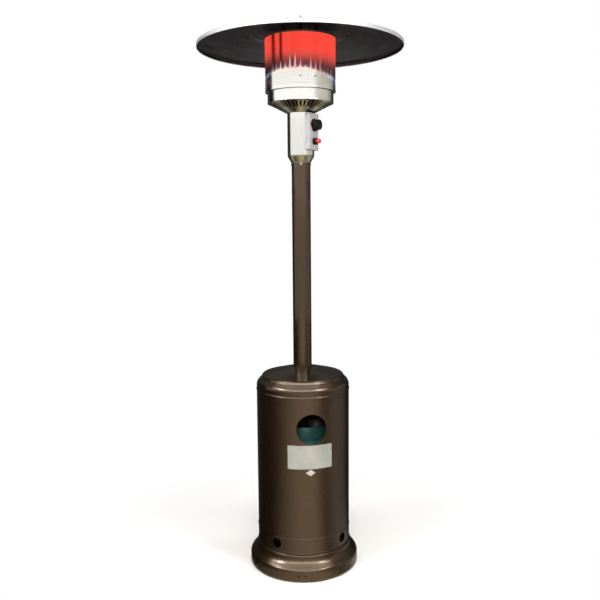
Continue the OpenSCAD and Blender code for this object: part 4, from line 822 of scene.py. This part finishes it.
def ribbed(p):
    """Thirty shallow ribs round the collar's side."""
    a, r = np.arctan2(p[..., 1], p[..., 0]), np.hypot(p[..., 0], p[..., 1])
    k = 1 - 0.015 * (r > 13) * (p[..., 2] > 3.5) * (p[..., 2] < 12.5) * (1 - np.cos(30 * a))
    return p * np.stack([k, k, np.ones_like(k)], -1)


collar_outline = softened([(9.1, 0.1), (13.5, 0.1), (13.5, 3), (13.2, 3.6), (13.2, 8), (13.2, 12.6),
                           (12.4, 14), (10, 14), (9.1, 13.2)], 0.7, 4, True)
turned("igniter_nut", collar_outline, phenolic, "stand", ("igniter_collar",), count=240,
       places=[panel_spot(panel_face, 0, igniter_height)], shape=ribbed)
# Moulded red plastic, glossy.
red = coating("red plastic, moulded", "#b8151e", "#d02530", 120.0, 0.25, 0.05, 0.0, 0.3)
button_outline = np.vstack([[(0, -4), (8.2, -4), (8.9, -3.4), (8.9, 20)],
                            softened([(8.9, 22), (8.9, 26), (7.4, 28), (3, 28), (0, 27.6)], 2.2, 6)])
turned("igniter_cap", button_outline, red, "button", ("igniter_button",), count=96,
       places=[panel_spot(panel_face, 0, igniter_height)])

# Bowl
# Pressed stainless bowl with 44 long slots round its rim, which lets air up to the burner.
bowl_path = np.vstack([
    [(5.3, 1854.4), (30, 1854.4)],
    softened([(48, 1854.4), (53.5, 1854.6), (126, 1891.2), (128, 1892.3), (131, 1892.4)], 2.5, 5)])
slots, slot_radius, slot_half_width, slot_half_length = 44, 104.5, 3.6, 20
slot_middle = np.interp(slot_radius, bowl_path[:, 0], length_along(bowl_path))
pierced("bowl_sheet", bowl_path, head_sheet,
        [(2 * math.pi * k / slots, slot_middle, slot_half_width, slot_half_length, 5, 22, 4)
         for k in range(slots)],
        [stainless_dulled, stainless_sooted], "stand", ("slotted_bowl",), count=slots, ring=2)

# Band
# A plain band of bright stainless joins the bowl to the emitter, with its upper and lower edge rolled.
band_outline = softened([(130, 1892.6), (131.2, 1892.6), (131.7, 1894), (131, 1896), (131, 1936),
                         (131, 1940.6), (130, 1940.6)], 0.7, 4, True)
turned("band_sheet", band_outline, [stainless, stainless_sooted], "stand", ("pot_band",),
       count=200, kinds=np.r_[np.zeros(len(band_outline) - 1), 1].astype(int))

# Emitter
# A cylinder of perforated stainless steel over the flame, with holes 2.6 mm wide and 6 mm apart in staggered
# rows. Its upper part glows red, the edge of the glow has heat colours with painted tongues of flame and
# painted glints, and its foot stays bright.
emitter_r, emitter_foot, emitter_head = 139, 1942, 2143
holes_from, holes_high, columns, rows, hole_share = 1947.5, 188, 146, 31, 0.21
across, rise = 2 * np.pi / columns, holes_high / rows
# A cell of the sheet runs from 0 to 1 both ways: eight points on its border, and eight on its hole's edge.
unit_square = np.array([(0, 0), (0.5, 0), (1, 0), (1, 0.5), (1, 1), (0.5, 1), (0, 1), (0, 0.5)])
direction = (unit_square - 0.5) / np.linalg.norm(unit_square - 0.5, axis=1)[:, None]
opening = 0.5 + hole_share * direction
i, j = np.meshgrid(np.arange(rows), np.arange(columns), indexing="ij")
start = np.stack([j + 0.5 * (i % 2), i], -1)[:, :, None, :]
cells = np.concatenate([start + unit_square, start + opening], 2)
a = cells[..., 0] * across
sheet = [np.stack([emitter_r * np.cos(a), emitter_r * np.sin(a), holes_from + cells[..., 1] * rise], -1)]
k = np.arange(8)
one = np.stack([k, (k + 1) % 8, (k + 1) % 8 + 8, k + 8], 1)
faces = [(np.arange(rows * columns)[:, None, None] * 16 + one).reshape(-1, 4)]
total = rows * columns * 16
half_steps = np.arange(2 * columns) * across / 2
for low, high in ((emitter_foot, holes_from), (holes_from + holes_high, emitter_head)):
    sheet.append(around([(emitter_r, low), (emitter_r, high)], half_steps))
    faces.append(net(2, 2 * columns, start=total).reshape(-1, 4))
    total += 4 * columns
# Perforated stainless, red hot: above a low arch that bows down to both sides it glows, dark red at its edge
# and orange red higher up, with two dim upright streaks at its left. 44 pale tongues of flame are painted on
# the arch, fading towards the right and cut off at the far left, painted violet glints of the flame's
# reflection lie at its ends, and the steel turns from bright through straw and violet to black.
glowing = blank("stainless steel, perforated and red hot")
where = add(glowing, "ShaderNodeTexCoord")
part = add(glowing, "ShaderNodeSeparateXYZ", {0: (where, "Object")})
side = add(glowing, "ShaderNodeMath", {0: (part, "X"), 1: 7.19}, operation="MULTIPLY")
slope = add(glowing, "ShaderNodeMath", {0: (side, 0), 1: -0.025, 2: -0.008}, operation="MULTIPLY_ADD")
edge = add(glowing, "ShaderNodeMath", {0: (side, 0), 1: (slope, 0), 2: 2.009}, operation="MULTIPLY_ADD")
above = add(glowing, "ShaderNodeMath", {0: (part, "Z"), 1: (edge, 0)}, operation="SUBTRACT")
drawn = add(glowing, "ShaderNodeMapping", {"Vector": (where, "Object"), "Scale": (1, 1, 0.06)})
tongue = add(glowing, "ShaderNodeTexNoise", {"Vector": (drawn, 0), "Scale": 60.0, "Detail": 2.0})
broad = add(glowing, "ShaderNodeTexNoise", {"Vector": (drawn, 0), "Scale": 22.0, "Detail": 1.0})
wander = add(glowing, "ShaderNodeMath", {0: (tongue, 0), 1: 0.016, 2: -0.008}, operation="MULTIPLY_ADD")
height = add(glowing, "ShaderNodeMath", {0: (above, 0), 1: (wander, 0)}, operation="ADD")
scaled = add(glowing, "ShaderNodeMapRange", {0: (height, 0), 1: -0.02, 2: 0.1, 3: 0.0, 4: 1.0})
fall = add(glowing, "ShaderNodeMath", {0: (side, 0), 1: (side, 0)}, operation="MULTIPLY")
later = add(glowing, "ShaderNodeMath", {0: (fall, 0), 1: -0.026, 2: (height, 0)}, operation="MULTIPLY_ADD")
later = add(glowing, "ShaderNodeMapRange", {0: (later, 0), 1: -0.02, 2: 0.1, 3: 0.0, 4: 1.0})
heat = add(glowing, "ShaderNodeValToRGB", {0: (later, 0)}, (
    (0.0, "#000000"), (0.16, "#000000"), (0.22, "#3a2224"), (0.32, "#5c302f"), (0.42, "#8f3f3a"),
    (0.52, "#c04a3f"), (0.65, "#e84a3e"), (0.8, "#fb4a3d"), (1.0, "#ff4b3e")))
tint = add(glowing, "ShaderNodeValToRGB", {0: (scaled, 0)}, (
    (0.0, "#f2f0ea"), (0.13, "#f4eddd"), (0.165, "#d8a063"), (0.2, "#7a5a80"), (0.26, "#453c48"),
    (0.4, "#2e1c1e"), (0.6, "#1a0c0c")))
dim = add(glowing, "ShaderNodeMapRange", {0: (broad, 0), 1: 0.3, 2: 0.7, 3: 0.98, 4: 1.16})
for place_x, width in ((0.53, 0.075), (0.743, 0.09)):
    gap = add(glowing, "ShaderNodeMath", {0: (side, 0), 1: place_x}, operation="ADD")
    gap = add(glowing, "ShaderNodeMath", {0: (gap, 0)}, operation="ABSOLUTE")
    gap = add(glowing, "ShaderNodeMapRange", {0: (gap, 0), 1: 0.0, 2: width, 3: 0.08, 4: 1.0},
              interpolation_type="SMOOTHSTEP")
    dim = add(glowing, "ShaderNodeMath", {0: (dim, 0), 1: (gap, 0)}, operation="MULTIPLY")
hot = add(glowing, "ShaderNodeMix", {0: 1.0, 6: (heat, 0), 7: (dim, 0)}, data_type="RGBA",
          blend_type="MULTIPLY")
# Painted tongues of flame: 44 pale streaks rising from the arch, dimmed towards the right and cut off at the
# far left.
back = add(glowing, "ShaderNodeMath", {0: (part, "Y"), 1: -1.0}, operation="MULTIPLY")
turn = add(glowing, "ShaderNodeMath", {0: (part, "X"), 1: (back, 0)}, operation="ARCTAN2")
wave = add(glowing, "ShaderNodeMath", {0: (turn, 0), 1: 44.0}, operation="MULTIPLY")
wave = add(glowing, "ShaderNodeMath", {0: (wave, 0)}, operation="COSINE")
wave = add(glowing, "ShaderNodeMath", {0: (wave, 0), 1: 0.5, 2: 0.5}, operation="MULTIPLY_ADD")
wave = add(glowing, "ShaderNodeMath", {0: (wave, 0), 1: 3.0}, operation="POWER")
reach = add(glowing, "ShaderNodeMapRange", {0: (tongue, 0), 1: 0.34, 2: 0.64, 3: 0.012, 4: 0.055})
wave = add(glowing, "ShaderNodeMath", {0: (wave, 0), 1: (reach, 0)}, operation="MULTIPLY")
wave = add(glowing, "ShaderNodeMath", {0: (wave, 0), 1: (above, 0)}, operation="SUBTRACT")
painted_flame = add(glowing, "ShaderNodeMapRange", {0: (wave, 0), 1: 0.0, 2: 0.02, 3: 0.0, 4: 0.75})
sun = add(glowing, "ShaderNodeMapRange", {0: (side, 0), 1: 0.2, 2: 0.6, 3: 1.0, 4: 0.3})
shade = add(glowing, "ShaderNodeMapRange", {0: (side, 0), 1: -0.85, 2: -0.6, 3: 0.0, 4: 1.0})
foot = add(glowing, "ShaderNodeMapRange", {0: (above, 0), 1: -0.008, 2: 0.002, 3: 0.0, 4: 1.0})
for factor in (sun, shade, foot):
    painted_flame = add(glowing, "ShaderNodeMath", {0: (painted_flame, 0), 1: (factor, 0)}, operation="MULTIPLY")
lit = add(glowing, "ShaderNodeMix", {0: (painted_flame, 0), 6: (hot, 2), 7: colour("#f0d8d8")}, data_type="RGBA")
# Painted violet glints, the flame's reflection, at the arch's edge near both of its ends.
far_out = add(glowing, "ShaderNodeMath", {0: (side, 0)}, operation="ABSOLUTE")
glint = add(glowing, "ShaderNodeMapRange", {0: (far_out, 0), 1: 0.62, 2: 0.82, 3: 0.0, 4: 1.0})
near = add(glowing, "ShaderNodeMath", {0: (above, 0), 1: 0.004}, operation="ADD")
near = add(glowing, "ShaderNodeMath", {0: (near, 0)}, operation="ABSOLUTE")
near = add(glowing, "ShaderNodeMapRange", {0: (near, 0), 1: 0.002, 2: 0.012, 3: 0.75, 4: 0.0})
broken = add(glowing, "ShaderNodeMapRange", {0: (tongue, 0), 1: 0.42, 2: 0.58, 3: 0.0, 4: 1.0})
for factor in (near, broken):
    glint = add(glowing, "ShaderNodeMath", {0: (glint, 0), 1: (factor, 0)}, operation="MULTIPLY")
lit = add(glowing, "ShaderNodeMix", {0: (glint, 0), 6: (lit, 2), 7: colour("#a9a6e8")}, data_type="RGBA")
rough = add(glowing, "ShaderNodeMapRange", {0: (scaled, 0), 1: 0.1, 2: 0.5, 3: 0.16, 4: 0.6})
shader = add(glowing, "ShaderNodeBsdfPrincipled", {
    "Base Color": (tint, 0), "Metallic": 1.0, "Roughness": (rough, 0), "Emission Color": (lit, 2),
    "Emission Strength": 1.0})
add(glowing, "ShaderNodeOutputMaterial", {"Surface": (shader, 0)})
make("emitter_mesh", sheet, faces, glowing, "stand", ("emitter_screen",))
screws("emitter_pan_screws", facing((-90, -66, 30, 150), emitter_r + 0.2, 1977), 3.5, 2.2, 1.75, 5,
       ("emitter_screws",))

# Pilot and leads
# The ignition lead in its silicone sleeve, the copper thermocouple lead and the pilot's gas tube run from
# the panel's back over the bowl to the pilot group, a white ceramic electrode beside a small steel burner.
# Glazed ceramic: white, smooth.
dress(coating("ceramic, glazed white", "#e3dfd3", "#efece3", 30.0, 0.2, 0.05, 0.0, 0.3), "spark_electrode")
# Silicone sleeve: pale grey, dull.
sleeve = coating("silicone sleeve, extruded", "#a79f90", "#b9b1a2", 200.0, 0.6, 0.2)
# Bare copper tube, a little tarnished.
copper = bare_metal("copper, drawn", "#8a4f30", "#b8714a", 200.0, 0.3, 0.45)
climb = np.array([(29, 29, 0.13), (40, 29, 0.23), (54, 28, 0.36), (70, 25, 0.51), (84, 20, 0.67),
                  (95, 16, 0.8), (100, 14, 0.92), (100, 14, 1)])
over_plate, climb_high = 1862.4, 95
climb[:, 2] = over_plate + climb_high * climb[:, 2]
rise = [np.linspace(low, over_plate, 6) for low in (1757.2, 1831.6, 1834.4)]
ignition_route = np.vstack([
    [(24, -11.2, igniter_height), (24, -16, igniter_height), (24, -24, igniter_height + 4)],
    np.stack([np.full(6, 24), np.full(6, -29), rise[0]], 1), climb * (1, -1, 1)])
thermo_route = np.vstack([
    [(0, 40, 1774.4), (0, 40, 1781.4), (6, 39, 1797.3), (16, 34, 1814.0)],
    np.stack([np.full(6, 24), np.full(6, 29), rise[1]], 1), climb])
pilot_route = np.vstack([
    np.stack([np.full(6, 30), np.zeros(6), rise[2]], 1),
    [(35, 0, 1874.8), (45, 0, 1885.2), (60, 0, 1900.4), (80, 0, 1920.4), (94, 0, 1936.5),
     (100, 0, 1947.9), (100, 0, 1957.4)]])
side = in_panel((1, 0, 0))
ignition, path = tube("ignition_sleeve", in_panel(ignition_route), 2, sleeve,
                      ("ignition_lead",), side)
thermo, path = tube("thermocouple_copper", in_panel(thermo_route), 2, copper,
                    ("thermocouple_lead",), side)
tube("pilot_gas_tube", in_panel(pilot_route), 2, steel, ("pilot_tube",), in_panel((0, 1, 0)))

# Reflector
# A dome spun from one aluminium sheet: flat crown, two shallow cones with a pressed ring between them and
# an upright rim with a rolled edge. Bright outside; dark inside with smoke and heat stain, and darker still
# as painted shade.
crown, dome_sheet = 2189.1, 1.0
reflector_path = np.vstack([
    softened([(403.2, 2105.4), (403.4, 2103.2), (406.2, 2103.2), (406.5, 2106), (405.7, 2109),
              (405.6, 2117.2), (402.0, 2119.6), (206, 2160.5), (198, 2165.6), (192, 2167.6), (99, 2187.6),
              (93, crown)], 3.2, 5),
    [(60, crown), (30, crown), (0, crown)]])
under = thick(reflector_path, dome_sheet)[::-1]
outline = np.vstack([reflector_path, under])
kinds = np.r_[np.zeros(len(reflector_path)), np.ones(len(under))].astype(int)
# Spun aluminium: bright, with fine rings left by the tool.
aluminium = bare_metal("aluminium, spun", "#c2c4c7", "#d9dadc", 40.0, 0.36, 0.5, (0.2, 0.2, 20), 0.03, 0.8)
# The same sheet below: dark with smoke and heat stain, and darker still as painted shade; a little glossy.
smoke_and_shade_below = bare_metal("aluminium underside, smoke and painted shade", "#4a4547", "#625c5d", 26.0, 0.28, 0.5, (0.4, 0.4, 20), 0.03)
turned("reflector_dome", outline, [aluminium, smoke_and_shade_below], "stand", ("reflector",), count=256,
       kinds=kinds)

# Reflector's fixings
# Three zinc plated studs with spacers stand on the emitter's plate. Washers and wing nuts hold the dome.
dress(zinc, "reflector_studs")
dress(stainless_sooted, "reflector_spacers")
stud_circle, nut_sides, wing_lift, wing_turn = 75, 48, math.radians(28), 0.4
washer = softened([(3.3, 0.2), (11, 0.2), (11, 1.7), (3.3, 1.7)], 0.3, 3, True)
hub = softened([(3.1, 1.9), (6.5, 1.9), (5.2, 9.5), (4.6, 10.9), (3.1, 10.9)], 0.6, 3, True)
# A wing is a rounded plate that grows from 0.75 of its size beside the hub by 4 in a hundred per millimetre.
half_long, from_hub, hub_rise = 5.4, 8.6, 5.5
wing, wing_faces = pillow((half_long, 1.5, 5.2), 1.4, 5)
growth = 0.75 + 0.04 * (wing[..., 0] + half_long)
wing = wing * np.stack([np.ones_like(growth), growth, growth], -1) + (from_hub, 0, 0)
wing = swung(wing, wing_lift, 0, 2) + (0, 0, hub_rise)
points, faces, total = [], [], 0
for stud in np.radians((30, 150, 270)):
    spot = (stud_circle * math.cos(stud), stud_circle * math.sin(stud), crown)
    for outline in (washer, hub):
        g = around(np.vstack([outline, outline[:1]]), np.arange(nut_sides) * 2 * np.pi / nut_sides)
        points.append(g + spot)
        faces.append(net(len(outline) + 1, nut_sides, start=total).reshape(-1, 4))
        total += g.shape[0] * nut_sides
    for side in (-1, 1):
        p = swung(wing * (side, side, 1), stud + wing_turn, 0, 1)
        points.append(p + spot)
        faces.append((wing_faces + total).reshape(-1, 4))
        total += p.shape[0] * p.shape[1]
make("wing_nuts_and_washers", points, faces, zinc, "stand", ("wing_nuts",))
